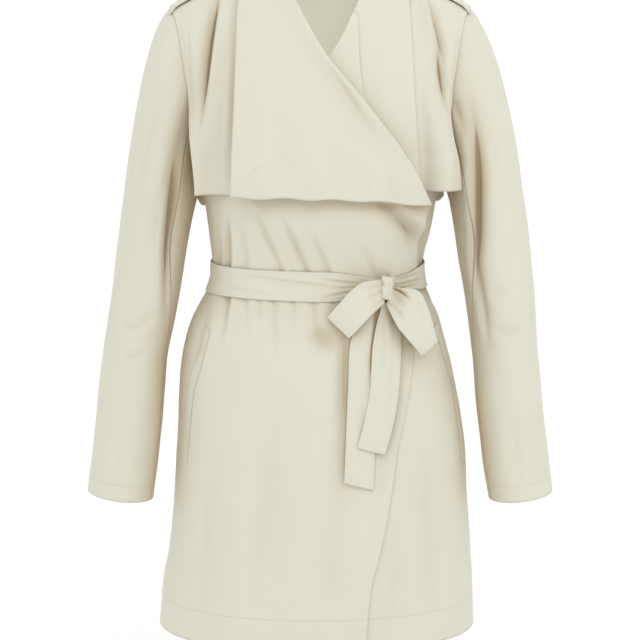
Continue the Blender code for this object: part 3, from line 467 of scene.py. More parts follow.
BACK_CREASES = crease_rows("""
-110 -298 -101 -335 -90 -400 4.6 7 0.4 0.45
-70 -284 -65 -330 -60 -400 5.4 7.6 0.45 0.55
-27 -303 -24 -340 -22.5 -400 4.6 7.2 0.45 0.45
18 -286 17.5 -334 15 -400 5.4 8 0.45 0.55
62 -300 59 -338 54 -400 4.6 7.4 0.45 0.45
107 -294 99 -334 90 -400 5 7.4 0.4 0.5
-46 -322 -44 -348 -41.5 -400 2.4 4.8 0.35 0.3
39 -316 37 -345 35 -400 2.6 5 0.35 0.35
-119 -476 -111 -425 -104 -364 4.8 8 -0.4 0.45
-71 -496 -65 -434 -60 -364 5.2 8.8 -0.45 0.5
-18 -482 -16.5 -430 -14 -364 4.6 8 -0.45 0.4
37 -502 33 -438 30 -364 5.2 8.8 -0.45 0.5
89 -478 83 -428 78 -364 4.6 8 -0.4 0.45
-42 -446 -40 -416 -38 -366 2.4 5 -0.35 0.3
59 -444 56 -414 54 -366 2.4 5 -0.35 0.3
-75 -520 -100 -680 -118 -850 -6 30 0.5 0
2 -540 5 -690 8 -850 7 32 0.5 0.14
80 -520 103 -680 120 -850 -6 30 0.5 0
-149 -560 -164 -700 -170 -850 5 20 0.4 0.14
146 -560 160 -700 166 -850 5 20 0.4 0.14
""")
UNDER_LAPEL = 0.017  # reach of the painted shade under the right lapel's hem
LATE = 0.62
BESIDE_ARMS = 0.16
BROAD_WAVES, FINE_WAVES = (0.085, 0.0005), (0.030, 0.00012)  # length and height
PRESSED = (0.012, 0.021)  # how far the belt presses the cloth above and below its line
SHOULDER_SEAM = (0.975, 0.9995)  # levels in which the right front comes down to the seam
HIDDEN_DRAW = 0.0055
RIGHT_SEED, LEFT_SEED, BACK_SEED = 11, 23, 37


def drape(rows, points, seed):
    """How far the creases and the slow waves draw the cloth in, and the creases' painted shade. The
    belt presses them flat."""
    x, z = points[..., 0], points[..., 2]
    (broad, high), (fine, low) = BROAD_WAVES, FINE_WAVES
    waves = ripple(x, z, broad, seed) * high + ripple(x, z, fine, seed + 1) * low
    pressed = fade(np.abs(z - BELT_Z), *PRESSED)
    draw, painted_shade = creases(rows, x, z, LATE)
    draw = draw + waves
    return mix(draw, np.maximum(draw, 0.0), pressed), painted_shade


def beside_arms(turn, z):
    """The warm shade on the body where the arms hang beside it."""
    aside = ease(np.abs(np.sin(turn)), 0.80, 0.99)
    return BESIDE_ARMS * aside * ease(z, -0.62, -0.36) * fade(z, -0.075, -0.030)


def front_right(u, v):
    level = rising_level(v, ARMPIT_Z - HEM_Z)
    turn = mix(-armhole_turn(level), edge_turn(RIGHT_ROLL, RIGHT_EDGE, level), u)
    bare = body(turn, level)
    x, z = bare[..., 0], bare[..., 2]
    draw, painted_shade = drape(FRONT_CREASES, bare, RIGHT_SEED)
    draw = draw + creases(FLAP_CREASES, x, z)[0]
    # Painted shade under the right lapel's hem, darkest toward its tip.
    hem = mix(LAPELS["lapel_right"]["hem_z"], TIP_Z, ease(x, -0.10, 0.12))
    under = fade(hem - z, 0.0, UNDER_LAPEL) * (z < hem + 0.004) * ease(x, -0.12, -0.09)
    painted_shade = painted_shade + beside_arms(turn, z) + mix(0.16, 0.60, ease(x, -0.02, 0.085)) * under
    lift = right_front_lift(x, z) * fade(level, *SHOULDER_SEAM)
    return cloth(turn, level, lift - draw), painted_shade


def front_left(u, v):
    """The hidden part of the left front is drawn in, clear of the right front's creases."""
    level = rising_level(v, ARMPIT_Z - HEM_Z)
    turn = mix(edge_turn(LEFT_ROLL, LEFT_EDGE, level), armhole_turn(level), u)
    bare = body(turn, level)
    x, z = bare[..., 0], bare[..., 2]
    edge = read(RIGHT_EDGE, "x", z)
    hidden = fade(x, edge - 0.040, edge - 0.006)
    hidden = hidden * fade(z, TIP_Z - 0.02, TIP_Z + 0.03)
    draw, painted_shade = drape(LEFT_CREASES, bare, LEFT_SEED)
    draw = draw * (1 - hidden) + creases(FRONT_CREASES, x, z)[0]
    draw = draw + creases(FLAP_CREASES, x, z)[0]
    return cloth(turn, level, -HIDDEN_DRAW * hidden - draw), painted_shade + beside_arms(turn, z)


def below_neckline(x, level):
    """Levels scaled so that the back's top row follows the neckline."""
    dip = -BACK_NECK_DROP * (1 - (x / NECK_HALF) ** 2)
    share = (dip - ARMPIT_Z) / (ridge_z(x) - ARMPIT_Z)
    return np.where((np.abs(x) < NECK_HALF) & (level > 0), level * share, level)


def back(u, v):
    level = rising_level(v, ARMPIT_Z - HEM_Z)
    side = armhole_turn(level)
    turn = mix(side, -side, u)
    x = body(turn, level)[..., 0]
    level = below_neckline(x, level)
    turn = np.where(level > 0, turn_at(x, level), turn)
    bare = body(math.pi - turn, level)
    draw, painted_shade = drape(BACK_CREASES, bare, BACK_SEED)
    painted_shade = painted_shade + beside_arms(turn, bare[..., 2])
    return cloth(math.pi - turn, level, -draw), painted_shade


# ---- storm flaps
FREE_LEVEL = 0.27
YOKE_HEIGHT = 0.187
FLAP_DROP = 0.045
FLAP_LOFT = 0.0010
FLAP_PUFF = 0.0042
FLAP_WIDEN = 0.034
FLAPS = {  # side, inner x, corner x, slope of the lower edge
    "storm_flap_right": (-1, 0.084, 0.149, 0.006),
    "storm_flap_left": (1, 0.108, 0.169, 0.001),
}
BACK_FLAP_CORNER_X = 0.153
BACK_FLAP_DROP = 0.060
BACK_FLAP_WIDEN = 0.022
BACK_FLAP_LOFT = 0.0024
BACK_FLAP_SWING = 0.0050
BACK_FLAP_TOP = 0.030
# Rows with no depth paint only shade, such as the right lapel's shadow beside its free edge.
FLAP_CREASES = crease_rows("""
-119 -4 -131.2 -94 -145.2 -216 7.6 5.4 0.5 1.75
-160 -50 -156 -110 -153.5 -165 1.6 3.6 0.3 0.2
-96.5 10 -101 -120 -105 -290 0 4.5 0 1.9
-112 -60 -115 -150 -119 -262 3 7 0.4 0.16
126 -12 141.5 -76 148.5 -124 5.6 4.8 0.35 0.95
140 -90 144 -130 153.5 -180 5.2 5 0.35 1.2
134 -64 143 -112 145.5 -155 0 6 0 0.8
119 -10 122 -50 126 -110 2 6 0.3 0.1
122 -130 126 -195 130 -272 2.2 8 0.3 0.08
""")
CAPE_CREASES = crease_rows("""
-144 -110 -135 -190 -128 -300 3.6 10 0.45 0.25
-70 -130 -68 -210 -64 -300 2.4 13 0.45 0.12
10 -110 8 -210 10 -300 2.8 15 0.45 0.12
80 -130 82 -210 78 -300 2.4 13 0.45 0.12
146 -100 136 -190 130 -300 3.6 10 0.45 0.25
""")


def flap_outer_x(corner_x, drop, level):
    """A flap's outer edge: in the armhole down to FREE_LEVEL, and free from there."""
    sewn = read(YOKE, "armhole_x", np.clip(level, 0.0, 1.0)) - SEAM
    leaving = float(read(YOKE, "armhole_x", FREE_LEVEL)) - SEAM
    metres = np.where(level > 0, level * YOKE_HEIGHT, level)
    fallen = (FREE_LEVEL * YOKE_HEIGHT - metres) / (FREE_LEVEL * YOKE_HEIGHT + drop)
    return np.where(level >= FREE_LEVEL, sewn, mix(leaving, corner_x, ease(fallen, 0.0, 1.0)))


def hanging(level):
    return fade(height(0.15, level), ARMPIT_Z - 0.020, ARMPIT_Z + 0.085)


def storm_flap(u, v, side, inner_x, corner_x, slope):
    share = u if side > 0 else 1 - u
    level = rising_level(v, FLAP_DROP)
    outer = flap_outer_x(corner_x, FLAP_DROP, level)
    across = mix(inner_x, outer, share)
    x = side * across
    level = np.where(level < 0, level * (1 + slope * share / FLAP_DROP), level)
    free = hanging(level)
    z = height(x, level)
    widen = FLAP_WIDEN * free * ease(across, 0.118, 0.160)
    puff = FLAP_PUFF * np.minimum(ease(v, 0.0, 0.2) + free, 1.0) * fade(v, 0.55, 0.85)
    puff = puff * (1 - (1 - free) * ease(share, 0.8, 1.0)) * ease(share, 0.2, 0.5)
    under = right_front_lift(x, z) if side < 0 else 0.0
    loft = FLAP_LOFT * (1 - ease(share, 0.85, 1.0) * (1 - free)) * fade(v, 0.85, 1.0)
    draw, painted_shade = creases(FLAP_CREASES, x, z)
    draw = draw + ripple(x, z, 0.05, 41) * 0.0003
    lift = under + LAYER + loft + puff - draw
    return cloth(turn_at(x, level, widen), level, lift, widen), painted_shade


def storm_flap_back(u, v):
    level = rising_level(v, BACK_FLAP_DROP)
    across = mix(1, -1, u)
    corner = ease(np.abs(across), 0.30, 0.82) * (1 - 0.7 * ease(np.abs(across), 0.84, 1.0))
    corner = corner * fade(v, 0.0, 0.30)
    level = np.where(level < 0, level - mix(0.016, 0.010, u < 0.5) * corner, level)
    outer_x = flap_outer_x(BACK_FLAP_CORNER_X, BACK_FLAP_DROP, level)
    side_x = body(turn_at(outer_x, level), level)[..., 0]
    x = body(turn_at(outer_x, level) * across, level)[..., 0]
    x = x * mix(1.0, outer_x / side_x, np.abs(across) ** 3)
    level = below_neckline(x, level)
    beside_neck = fade(np.abs(x), 0.080, 0.104)
    level = level * (1 - BACK_FLAP_TOP * beside_neck * np.maximum(level, 0.0))
    free = hanging(level)
    widen = BACK_FLAP_WIDEN * free
    sewn = ease(np.abs(across), 0.8, 1.0) * (1 - free)
    sewn = np.maximum(sewn, ease(v, 0.93, 1.0) * (1 - beside_neck))
    z = height(x, level)
    draw, painted_shade = creases(CAPE_CREASES, x, z)
    draw = draw + ripple(x, z, 0.07, 43) * 0.0004 * (1 - sewn)
    lift = LAYER + BACK_FLAP_LOFT * (1 - sewn) + BACK_FLAP_SWING * free - draw
    # Painted shade on the inside of the back flap's hanging corners.
    painted_shade = painted_shade + 1.20 * corner * ease(np.abs(across), 0.86, 0.96)
    return cloth(math.pi - turn_at(x, level, widen), level, lift, widen), painted_shade


# ---- lapels
ROLL_GAP = 0.0014
SHOULDER_LIFT = 0.0044
HEM_WAVES = (0.062, 0.0012)  # length and height
LAPELS = {
    "lapel_right": dict(
        side=-1, roll=RIGHT_ROLL, radius=0.0042, outer_x=(0.1020, 0.0930), hem_z=-0.269,
        face_lift=0.0060, shoulder_rise=0.0, swing=0.0090, widen=0.050,
        columns=(110, 14), rows=110,
    ),
    "lapel_left": dict(
        side=1, roll=LEFT_ROLL, radius=0.0024, outer_x=(0.1190, 0.1050), hem_z=-0.262,
        face_lift=0.0052, shoulder_rise=0.0030, swing=0.0004, widen=0.004,
        columns=(60, 10), rows=100,
    ),
}
LAPEL_CREASES = crease_rows("""
-27 -20 26.5 -130 76 -210 2 10 0.45 0.42
-85 -60 -85 -160 -84 -290 1.2 12 0.3 0
-50 -150 -40 -210 -38 -290 1.8 15 0.4 0.05
10 -200 16 -235 20 -290 1.4 12 0.4 0.05
50 -230 56 -255 60 -290 1.4 10 0.4 0.08
76 -240 86 -262 96 -295 1.6 9 0.4 0.12
-86 -248.5 -74 -238 -62 -227 0.5 1.6 0 0.5
""")


def lapel_face(lapel, share, v):
    """Places on the lapel's face: share is 0 on the free edge and 1 on the roll."""
    side = lapel["side"]
    roll_z = mix(TIP_Z, 0.0, v)
    roll_x = read(lapel["roll"], "x", roll_z)
    roll_z = roll_z + ridge_z(lapel["roll"]["x"][-1]) * v**4
    outer_x = side * mix(*lapel["outer_x"], v)
    outer_z = mix(lapel["hem_z"], ridge_z(outer_x), v)
    x = mix(outer_x, roll_x, share)
    z = mix(outer_z, roll_z, share ** (1 + 2 * (1 - v)))
    free = fade(v, 0.05, 0.75) * fade(share, 0.35, 0.95)
    run = np.abs(roll_x - outer_x) * (1 - share)
    top = ROLL_GAP + 2 * lapel["radius"]
    lift = mix(lapel["face_lift"], top, bell(run / 0.016)) + lapel["swing"] * free
    lift = lift + lapel["shoulder_rise"] * ease(z, -0.060, 0.0)
    lift = mix(lift, SHOULDER_LIFT, ease(v, 0.90, 1.0) * fade(share, 0.0, 0.7))
    base = right_front_lift(x, z) if side < 0 else 0.0
    hanging_hem = fade(v, 0.0, 0.25)
    wave = HEM_WAVES[1] * np.sin(x * 2 * math.pi / HEM_WAVES[0] + 1.0)
    lift = lift + wave * hanging_hem * (1 - share**4)
    z = z + 0.0011 * np.sin(x * 2 * math.pi / 0.057) * fade(v, 0.0, 0.10)
    return x, z, base + lift, lapel["widen"] * free


def lapel(u, v, spec):
    side, radius = spec["side"], spec["radius"]
    face_columns, roll_columns = spec["columns"]
    columns = face_columns + roll_columns
    level = rising_level(v, ARMPIT_Z - TIP_Z)
    v = (height(NECK_HALF, level) - TIP_Z) / -TIP_Z
    column = (u if side < 0 else 1 - u) * columns
    share = np.minimum(column / face_columns, 1.0)
    x, z, lift, widen = lapel_face(spec, share, v)
    shift = side * radius * ease(share, 0.6, 1.0)
    painted_shade = 0 * u
    if side < 0:
        open_share = fade(share, 0.93, 1.0)
        draw, painted_shade = creases(LAPEL_CREASES, x, z)
        lift = lift - (draw + ripple(x, z, 0.06, 51) * 0.0004) * open_share
        painted_shade = painted_shade * open_share
    face = front_cloth(x + shift, z, lift, widen)
    angle = math.pi / 2 - math.pi * np.clip((column - face_columns) / roll_columns, 0, 1)
    rolled_x = x - side * radius * (np.cos(angle) - 1)
    rolled = front_cloth(rolled_x, z, lift - radius + radius * np.sin(angle))
    return np.where((column > face_columns + 0.5)[..., None], rolled, face), painted_shade


FACING = table("z x", """
-166 56
-150 52
-127 48.5
-95 45.8
-55 44.5
""")


def lapel_left_facing(u, v):
    """The turned edge of the left lapel, between the V and the thin line beside it."""
    z = keys_at(FACING, v)
    x = mix(read(LEFT_ROLL, "x", z) - 0.0005, read(FACING, "x", z), u)
    lift = 2 * LAPELS["lapel_left"]["radius"] + ROLL_GAP + LAYER
    return front_cloth(x, z, lift - 0.0006 * ease(u, 0.9, 1.0)), 0 * u


# ---- collar at the back
COLLAR_STAND = (0.0095, 0.024)
COLLAR_FALL = (0.019, 0.052)
COLLAR_LIFT = 0.0072


def collar_back(u, v):
    """From its free edge on the shoulders, up over its fold, down inside to the neck."""
    across = np.sin(math.pi / 2 * mix(1, -1, u))
    middle = 1 - across**2
    step = 2 * v
    neck_x = NECK_HALF * across
    neck_z = -BACK_NECK_DROP * middle
    edge_x = (NECK_HALF + COLLAR_FALL[0]) * across
    edge_z = mix(neck_z - mix(*COLLAR_FALL, middle), ridge_z(edge_x), np.abs(across) ** 6)
    stand = mix(*COLLAR_STAND, middle)
    up = np.array([0.0, 0.0, 1.0])
    level = level_at(neck_x, neck_z)
    turn = math.pi - turn_at(neck_x, level)
    away = unit(mix(outward(turn, level), up, 0.6))
    rise = stand * (2 - step) - 0.0012 * fade(step, 1.0, 1.6)
    inside = cloth(turn, level, 0.0) + up * 0.0007 + away * rise[..., None]
    fall = np.minimum(step, 1.0)
    x, z = mix(edge_x, neck_x, fall), mix(edge_z, neck_z, fall)
    level = level_at(x, z)
    turn = math.pi - turn_at(x, level)
    lift = mix(COLLAR_LIFT, stand, ease(fall, 0.2, 1.0)) + 0.003 * np.sin(math.pi * fall)
    lean = unit(mix(outward(turn, level), up, 0.6 * fall[..., None]))
    outside = body(turn, level) + lean * lift[..., None]
    blend = ease(step, 0.94, 1.10)[..., None]
    return mix(outside, inside, blend), 0 * u


# ---- sleeves
SLEEVE_LEAN = math.radians(8)
FRONT_SEAM_TURN = (125.0, 163.0)  # down to the elbow, and under the arm below it
BACK_SEAM_TURN = 236.0
SEAM_SWING = (0.40, 0.70)  # up the sleeve's length, from the armhole
SLEEVE_GIRTH = 0.05 * math.pi / 180  # metres round a sleeve for each degree
SLEEVES = {  # side, sections, creases
    "right": (-1, table("z middle forward half_width half_depth", """
-660 256 30 42 44
-596 247.5 26 42.4 45
-518 239.2 21 42 46
-476 234.5 17 41 47
-417 223.9 12 42.5 49
-362 215.4 8 43.6 52
-327 209.7 6 44 55
-270 199.5 4 46.5 61
"""), crease_rows("""
106 -205 118 -320 145 -450 6.2 7.8 -0.4 1
120 -90 113 -230 128 -410 2 11.5 0 2.2
64 -110 58 -210 50 -310 3 11 0.4 0.1
104 -220 94 -290 98 -360 2.8 8 0.4 0.15
20 -350 22 -420 12 -500 3 12 0.4 0.08
124 -415 86 -438 48 -430 2.6 8 0.45 0.22
124 -462 92 -476 66 -470 2 7 0.45 0.18
244 -330 252 -400 246 -470 4.8 10 0.4 0.3
300 -150 304 -240 296 -340 3.6 12 0.4 0.1
210 -230 190 -260 170 -250 3 8 0.4 0.15
270 -400 300 -424 330 -420 2.4 9 0.45 0.15
90 -520 84 -590 88 -680 2 12 0.4 0.06
270 -520 276 -590 272 -680 2.2 12 0.4 0.06
    """, 1000 * SLEEVE_GIRTH)),
    "left": (1, table("z middle forward half_width half_depth", """
-660 257.3 30 41 44
-596 247.9 26 42.2 45
-518 239.3 21 42 46
-476 235.6 17 41.8 47
-417 229.7 12 43.5 49
-362 222.1 8 45.8 52
-327 217.5 6 46.1 55
-270 208 4 47 61
"""), crease_rows("""
74 -130 109 -280 145 -440 6.6 7.8 0.3 1
74 -105 107 -265 138 -420 0 10.5 0 2.2
106 -90 106 -145 106 -210 3.4 6 0.3 0.6
70 -150 66 -240 74 -330 2.4 11 0.4 0.08
124 -350 126 -405 122 -475 4 7 0.4 0.55
28 -340 32 -410 24 -490 2.8 12 0.4 0.08
122 -430 90 -446 54 -436 2.6 8 0.45 0.22
118 -392 98 -398 76 -392 1.8 7 0.45 0.15
244 -320 248 -390 242 -460 4.8 10 0.4 0.3
300 -140 303 -240 297 -340 3.6 12 0.4 0.1
210 -230 190 -260 170 -250 3 8 0.4 0.15
266 -400 296 -420 326 -414 2.4 9 0.45 0.15
86 -520 92 -590 86 -680 2 12 0.4 0.06
276 -520 270 -590 276 -680 2.2 12 0.4 0.06
    """, 1000 * SLEEVE_GIRTH)),
}
CAP_SHARE = 0.34
INSIDE_TURN, INSIDE_SHADE = 172, 0.34  # where the arms hang close to the body, and how much shade is painted on the sleeve there


def sleeve_ring(rows, z, turn):
    """Places on the sleeve's section at z: turn is 0 outside, 90 in front."""
    out = np.array([math.cos(SLEEVE_LEAN), 0.0, math.sin(SLEEVE_LEAN)])
    forth = np.array([0.0, -1.0, 0.0])
    middle = np.stack([read(rows, "middle", z), -read(rows, "forward", z), z], -1)
    wide = (read(rows, "half_width", z) * np.cos(turn))[..., None]
    deep = (read(rows, "half_depth", z) * np.sin(turn))[..., None]
    return middle + out * wide + forth * deep


def armhole_point(turn):
    """Where the sleeve is set in: turn is 0 on the shoulder, 90 in front, 180 below."""
    level = TOP_LEVEL * (1 + np.cos(turn)) / 2
    x = read(YOKE, "armhole_x", level)
    around = turn_at(x, level)
    point = body(np.where(np.sin(turn) >= 0, around, math.pi - around), level)
    under = ease(-np.cos(turn), 0.5, 1.0)
    shift = SEAM + 0.0010 * under
    return point + np.stack([shift, 0 * shift, 0 * shift], -1)


def cap_point(rows, turn, t):
    """The sleeve's cap, on a curve from the armhole (t 0) to its first section (t 1)."""
    top = (1 + np.cos(turn)) / 2
    start = armhole_point(turn)
    end = sleeve_ring(rows, np.full(np.shape(turn), rows["z"][-1]), turn)
    leave = unit(np.stack([0.25 + 0.65 * top, -0.40 * np.sin(turn), -0.95 + 0.25 * top], -1))
    arrive = np.array([-math.sin(SLEEVE_LEAN), 0.0, math.cos(SLEEVE_LEAN)])
    first = start + leave * mix(0.018, 0.030, top)[..., None]
    last = end + arrive * mix(0.012, 0.105, top)[..., None]
    t = t[..., None]
    return (
        start * (1 - t) ** 3
        + first * 3 * t * (1 - t) ** 2
        + last * 3 * t * t * (1 - t)
        + end * t**3
    )


def sleeve(u, v, side, rows, folds, upper):
    share = u if side > 0 else 1 - u
    front = mix(*FRONT_SEAM_TURN, ease(v, *SEAM_SWING))
    start, end = (BACK_SEAM_TURN - 360, front) if upper else (front, BACK_SEAM_TURN)
    degrees = mix(start + 0.02, end - 0.02, share)
    turn = np.radians(degrees)
    cap = cap_point(rows, turn, np.minimum(v / CAP_SHARE, 1.0))
    z = mix(rows["z"][-1], rows["z"][0], np.clip((v - CAP_SHARE) / (1 - CAP_SHARE), 0, 1))
    point = np.where((v < CAP_SHARE)[..., None], cap, sleeve_ring(rows, z, turn))
    z = point[..., 2]
    around = np.where(degrees < 0, degrees + 360, degrees) * SLEEVE_GIRTH
    depth, painted_shade = creases(folds, around, z)
    # Painted shade on the sleeve's inner side, where the arm hangs close to the body.
    inside = bell((degrees - INSIDE_TURN) / 40) * ease(z, -0.56, -0.40)
    painted_shade = painted_shade + INSIDE_SHADE * inside * fade(z, -0.10, -0.05)
    depth = depth + ripple(degrees * SLEEVE_GIRTH, z, 0.07, 61 + side) * 0.0005
    depth = depth * ease(v, 0.0, 0.08)
    radial = np.stack([np.cos(turn), -np.sin(turn), 0 * turn], -1)
    return (point - radial * depth[..., None]) * np.array([side, 1, 1]), painted_shade


# ---- epaulettes
EPAULETTE_HALF, EPAULETTE_TAPER = 0.021, 0.86
EPAULETTE_X = (0.106, 0.1845)
EPAULETTE_POINT = 0.010
EPAULETTE_LIFT = (0.0064, 0.0034)


def level_for_depth(x, depth, front):
    """The level on the shoulder where the cloth is this far from the shoulder seam."""
    low, high = np.full(np.shape(x), 0.5), np.full(np.shape(x), TOP_LEVEL)
    for _ in range(40):
        level = (low + high) / 2
        turn = turn_at(x, level)
        found = np.abs(body(np.where(front, turn, math.pi - turn), level)[..., 1])
        low, high = np.where(found > depth, level, low), np.where(found > depth, high, level)
    return level


def epaulette(u, v, side):
    across = mix(-1, 1, v)
    out = u if side > 0 else 1 - u
    x = mix(EPAULETTE_X[0] + EPAULETTE_POINT * np.abs(across), EPAULETTE_X[1], out)
    y = across * EPAULETTE_HALF * mix(EPAULETTE_TAPER, 1.0, out)
    level = level_for_depth(x, np.abs(y), y < 0)
    turn = turn_at(x, level)
    angle = np.where(y < 0, turn, math.pi - turn)
    lift = mix(*EPAULETTE_LIFT, ease(out, 0.84, 1.0))
    return cloth(angle, level, lift) * np.array([side, 1, 1]), 0 * u


# ---- pocket welts
WELT_WIDTH = 0.0125
WELT_LIFT = 0.0013
WELTS = {
    "pocket_welt_right": table("z x", """
-612 -171
-563 -166.8
-514 -160.3
-477 -149.9
-440 -139.7
    """),
    "pocket_welt_left": table("z x", """
-612 179.5
-563 175
-514 168
-477 157
-440 145
    """),
}


def pocket_welt(u, v, rows):
    side = np.sign(rows["x"][0])
    z = keys_at(rows, v)
    level = z - ARMPIT_Z
    middle = turn_at(read(rows, "x", z), level)
    small = 0.01
    gone = np.linalg.norm(body(middle + small, level) - body(middle, level), axis=-1)
    turn = middle + (u - 0.5) * WELT_WIDTH / (gone / small)
    level = level + side * 0.003 * (2 * u - 1)
    bare = body(turn, level)
    front = (FRONT_CREASES, bare, RIGHT_SEED) if side < 0 else (LEFT_CREASES, bare, LEFT_SEED)
    return cloth(turn, level, WELT_LIFT - drape(*front)[0]), 0 * u


# ---- belt
BELT_RADIUS = 0.11
BELT_END_WIDTH = 0.020
BELT_CROWN, BELT_HUG = 0.0012, 0.0020
BUNCH = 0.0075  # how far the belt's lower edge is drawn up on the knot's left side
BELT_CREASES = crease_rows("""
-108 -369 -38 -375.5 42 -388 1.1 2.2 0.6 0.4
-10 -369 20 -375.5 52 -380 1.1 1.9 0.6 0.45
-6 -397.5 20 -393 52 -388.5 1.1 1.9 0.6 0.45
10 -385 27 -384.8 52 -385 0.9 1.7 0.6 0.4
86 -379.5 105 -374.5 129 -371 1.5 2.2 0.7 0.6
86 -385 108 -382.5 133 -379 1.5 2.2 0.7 0.6
86 -390 108 -388 130 -386.5 1 1.8 0.6 0.45
-126 -386 -86 -390 -40 -394 0.7 2.6 0.5 0.12
""")


def belt_width(from_knot):
    return mix(BELT_END_WIDTH, BELT_WIDTH, ease(from_knot, -0.004, 0.060))


def belt_band(u, v):
    level = np.array([BELT_Z - ARMPIT_Z])
    lean = outward(turn_at(np.array([KNOT_X]), level), level)[0, 0] * BELT_LIFT
    start = float(turn_at(KNOT_X + 0.0060 - lean, level)[0])
    end = float(turn_at(KNOT_X - 0.0060 - lean, level)[0]) + 2 * math.pi
    turn = mix(start, end, u)
    from_knot = np.minimum(turn - start, end - turn) * BELT_RADIUS
    z = BELT_Z - 0.003 * bell(from_knot / 0.08) + (v - 0.5) * belt_width(from_knot)
    z = z + BUNCH * (1 - v) * fade((turn - start) * BELT_RADIUS, 0.070, 0.140)
    bare = body(turn, z - ARMPIT_Z)
    x, front = bare[..., 0], bare[..., 1] < 0
    waves = ripple(turn * BELT_RADIUS, z * 2.5, 0.045, 71) * 0.0005
    draw, painted_shade = creases(BELT_CREASES, x, z)
    crown = BELT_CROWN * np.sin(math.pi * v)
    hug = BELT_HUG * (1 - front * ease(x, -0.135, -0.095) * fade(x, 0.118, 0.130))
    lift = BELT_LIFT + crown - front * draw - waves - hug
    return cloth(turn, z - ARMPIT_Z, lift), front * painted_shade


LOOPS = {
    "bow_loop_right": {
        "edges": table("run high_x high_z low_x low_z", """
0 79 -373 79.5 -406
0.2 60.5 -372.5 69 -414.5
0.34 50 -375.5 62.5 -420.5
0.5 40.5 -385.7 56 -426.5
1 10.5 -419 37.2 -444
        """),
        "bulge": 0.0110,
        "left": True,
        "creases": crease_rows("""
105 -377 72 -383 44 -385 0.9 2.6 0.5 0.3
106 -385 74 -393 48 -407 1.1 2.6 0.5 0.4
102 -390 75 -403 57 -419 0.8 2.2 0.5 0.3
        """),
    },
    "bow_loop_left": {
        "edges": table("run high_x high_z low_x low_z", """
0 88 -387.5 81.5 -408
0.2 104 -388 87.5 -420
0.38 117.5 -390.5 93.5 -431
0.52 127.5 -400 98.5 -438.5
1 144.5 -450 123.5 -467
        """),
        "bulge": 0.0120,
        "left": False,
        "creases": crease_rows("""
84 -387 98.5 -392.5 115 -406 3 2.4 0.7 2
86 -393 95.5 -401.5 108 -414 1.6 4.4 0 1.5
70 -398 93 -413 108 -435 1.2 2.6 0.5 0.6
115 -399 123 -415 129 -440 1 5 0.4 0.12
        """),
    },
}
END_RADIUS = 0.0026
LEAF_SHARE = 0.44
LOOP_LIFT = 0.0078


def leaf_place(loop, run, v):
    """A place on a loop's leaf, run from the knot (0) to its end (1), v up its width."""
    edges = loop["edges"]
    x = mix(read(edges, "low_x", run), read(edges, "high_x", run), v)
    z = mix(read(edges, "low_z", run), read(edges, "high_z", run), v)
    return np.stack([x, z], -1)


def bow_loop(u, v, loop):
    run = 1 - u if loop["left"] else u
    leaf = np.minimum(np.minimum(run, 1 - run) / LEAF_SHARE, 1.0)
    past_end = np.clip((run - LEAF_SHARE) / (1 - 2 * LEAF_SHARE), 0, 1)
    place_on = leaf_place(loop, leaf, v)
    heading = unit(leaf_place(loop, 1.0 + 0 * v, v) - leaf_place(loop, 0.95 + 0 * v, v))
    gape = 2 * END_RADIUS + loop["bulge"] * np.sin(math.pi * leaf) ** 0.8
    angle = math.pi * (0.5 - past_end)
    turning = (past_end > 0) & (past_end < 1)
    reach = np.where(turning, END_RADIUS * np.cos(angle), 0.0)
    place_on = place_on + heading * reach[..., None]
    x, z = place_on[..., 0], place_on[..., 1]
    front_leaf = past_end <= 0
    draw, painted_shade = creases(loop["creases"], x, z)
    waves = ripple(x, z, 0.022, 73) * 0.0003 * np.sin(math.pi * leaf)
    lift = LOOP_LIFT + gape / 2 * (1 + np.sin(angle)) - front_leaf * draw + waves
    return over_front(x, z, lift, 0.06 * ease(x, 0.085, 0.140)), front_leaf * painted_shade


TAIL_SLANT, TAIL_CROWN = 0.010, 0.0010
TAILS = {
    "belt_tail_front": {
        "lift": 0.0086,
        "edges": table("z left right", """
-583 45.5 80
-548 53.5 91
-509 61 97.2
-461 64 100
-436 68 98.5
-420 72.2 89.5
-405.2 76.5 84.5
        """),
        # The first row has no depth and paints only the loop's shadow on this tail.
        "creases": crease_rows("""
78 -390 87 -418 96 -446 0 5 0 2.6
79 -400 79 -450 77 -530 0.9 4 0.6 0.1
86 -440 87 -500 80 -600 0.8 5 0.6 0.08
        """),
    },
    "belt_tail_back": {
        "lift": 0.0058,
        "edges": table("z left right", """
-627 29.7 66
-560 32 69
-500 34.5 71.5
-447.5 37.8 72.5
-424 50 74
-405.2 70 80
        """),
        # The first two rows have no depth and paint only the shade in the gap beside the front
        # tail.
        "creases": crease_rows("""
80 -392 74 -410 67.5 -434 0 5 0 4
79 -380 65.5 -447 60 -530 0 3 0 4
60 -430 54 -500 50 -640 0.9 5 0.6 0.08
        """),
    },
}


def belt_tail(u, v, tail):
    rows = tail["edges"]
    z = keys_at(rows, v)
    x = mix(read(rows, "left", z), read(rows, "right", z), u)
    z = z - TAIL_SLANT * (u - 0.5) * fade(v, 0.0, 0.2)
    draw, painted_shade = creases(tail["creases"], x, z)
    draw = draw + ripple(x, z, 0.05, 77) * 0.0004
    lift = tail["lift"] + TAIL_CROWN * np.sin(math.pi * u) - draw
    return over_front(x, z, lift), painted_shade


KNOT_CREASES = crease_rows("""
74 -372 77.5 -379 79 -389 1.4 1.6 0.5 0.7
86 -368 87.2 -384 85 -402 0.7 1.4 0.6 0.22
74 -404 83 -399 92 -396 0.8 1.6 0.6 0.35
""")


KNOT_TURN = math.radians(160)
KNOT_SQUARE = 0.62
KNOT_HALF_WIDTH, KNOT_HALF_HEIGHT = 0.0088, 0.0172
KNOT_LIFT, KNOT_LOFT = 0.0112, 0.0072
KNOT_SLANT = 0.0012


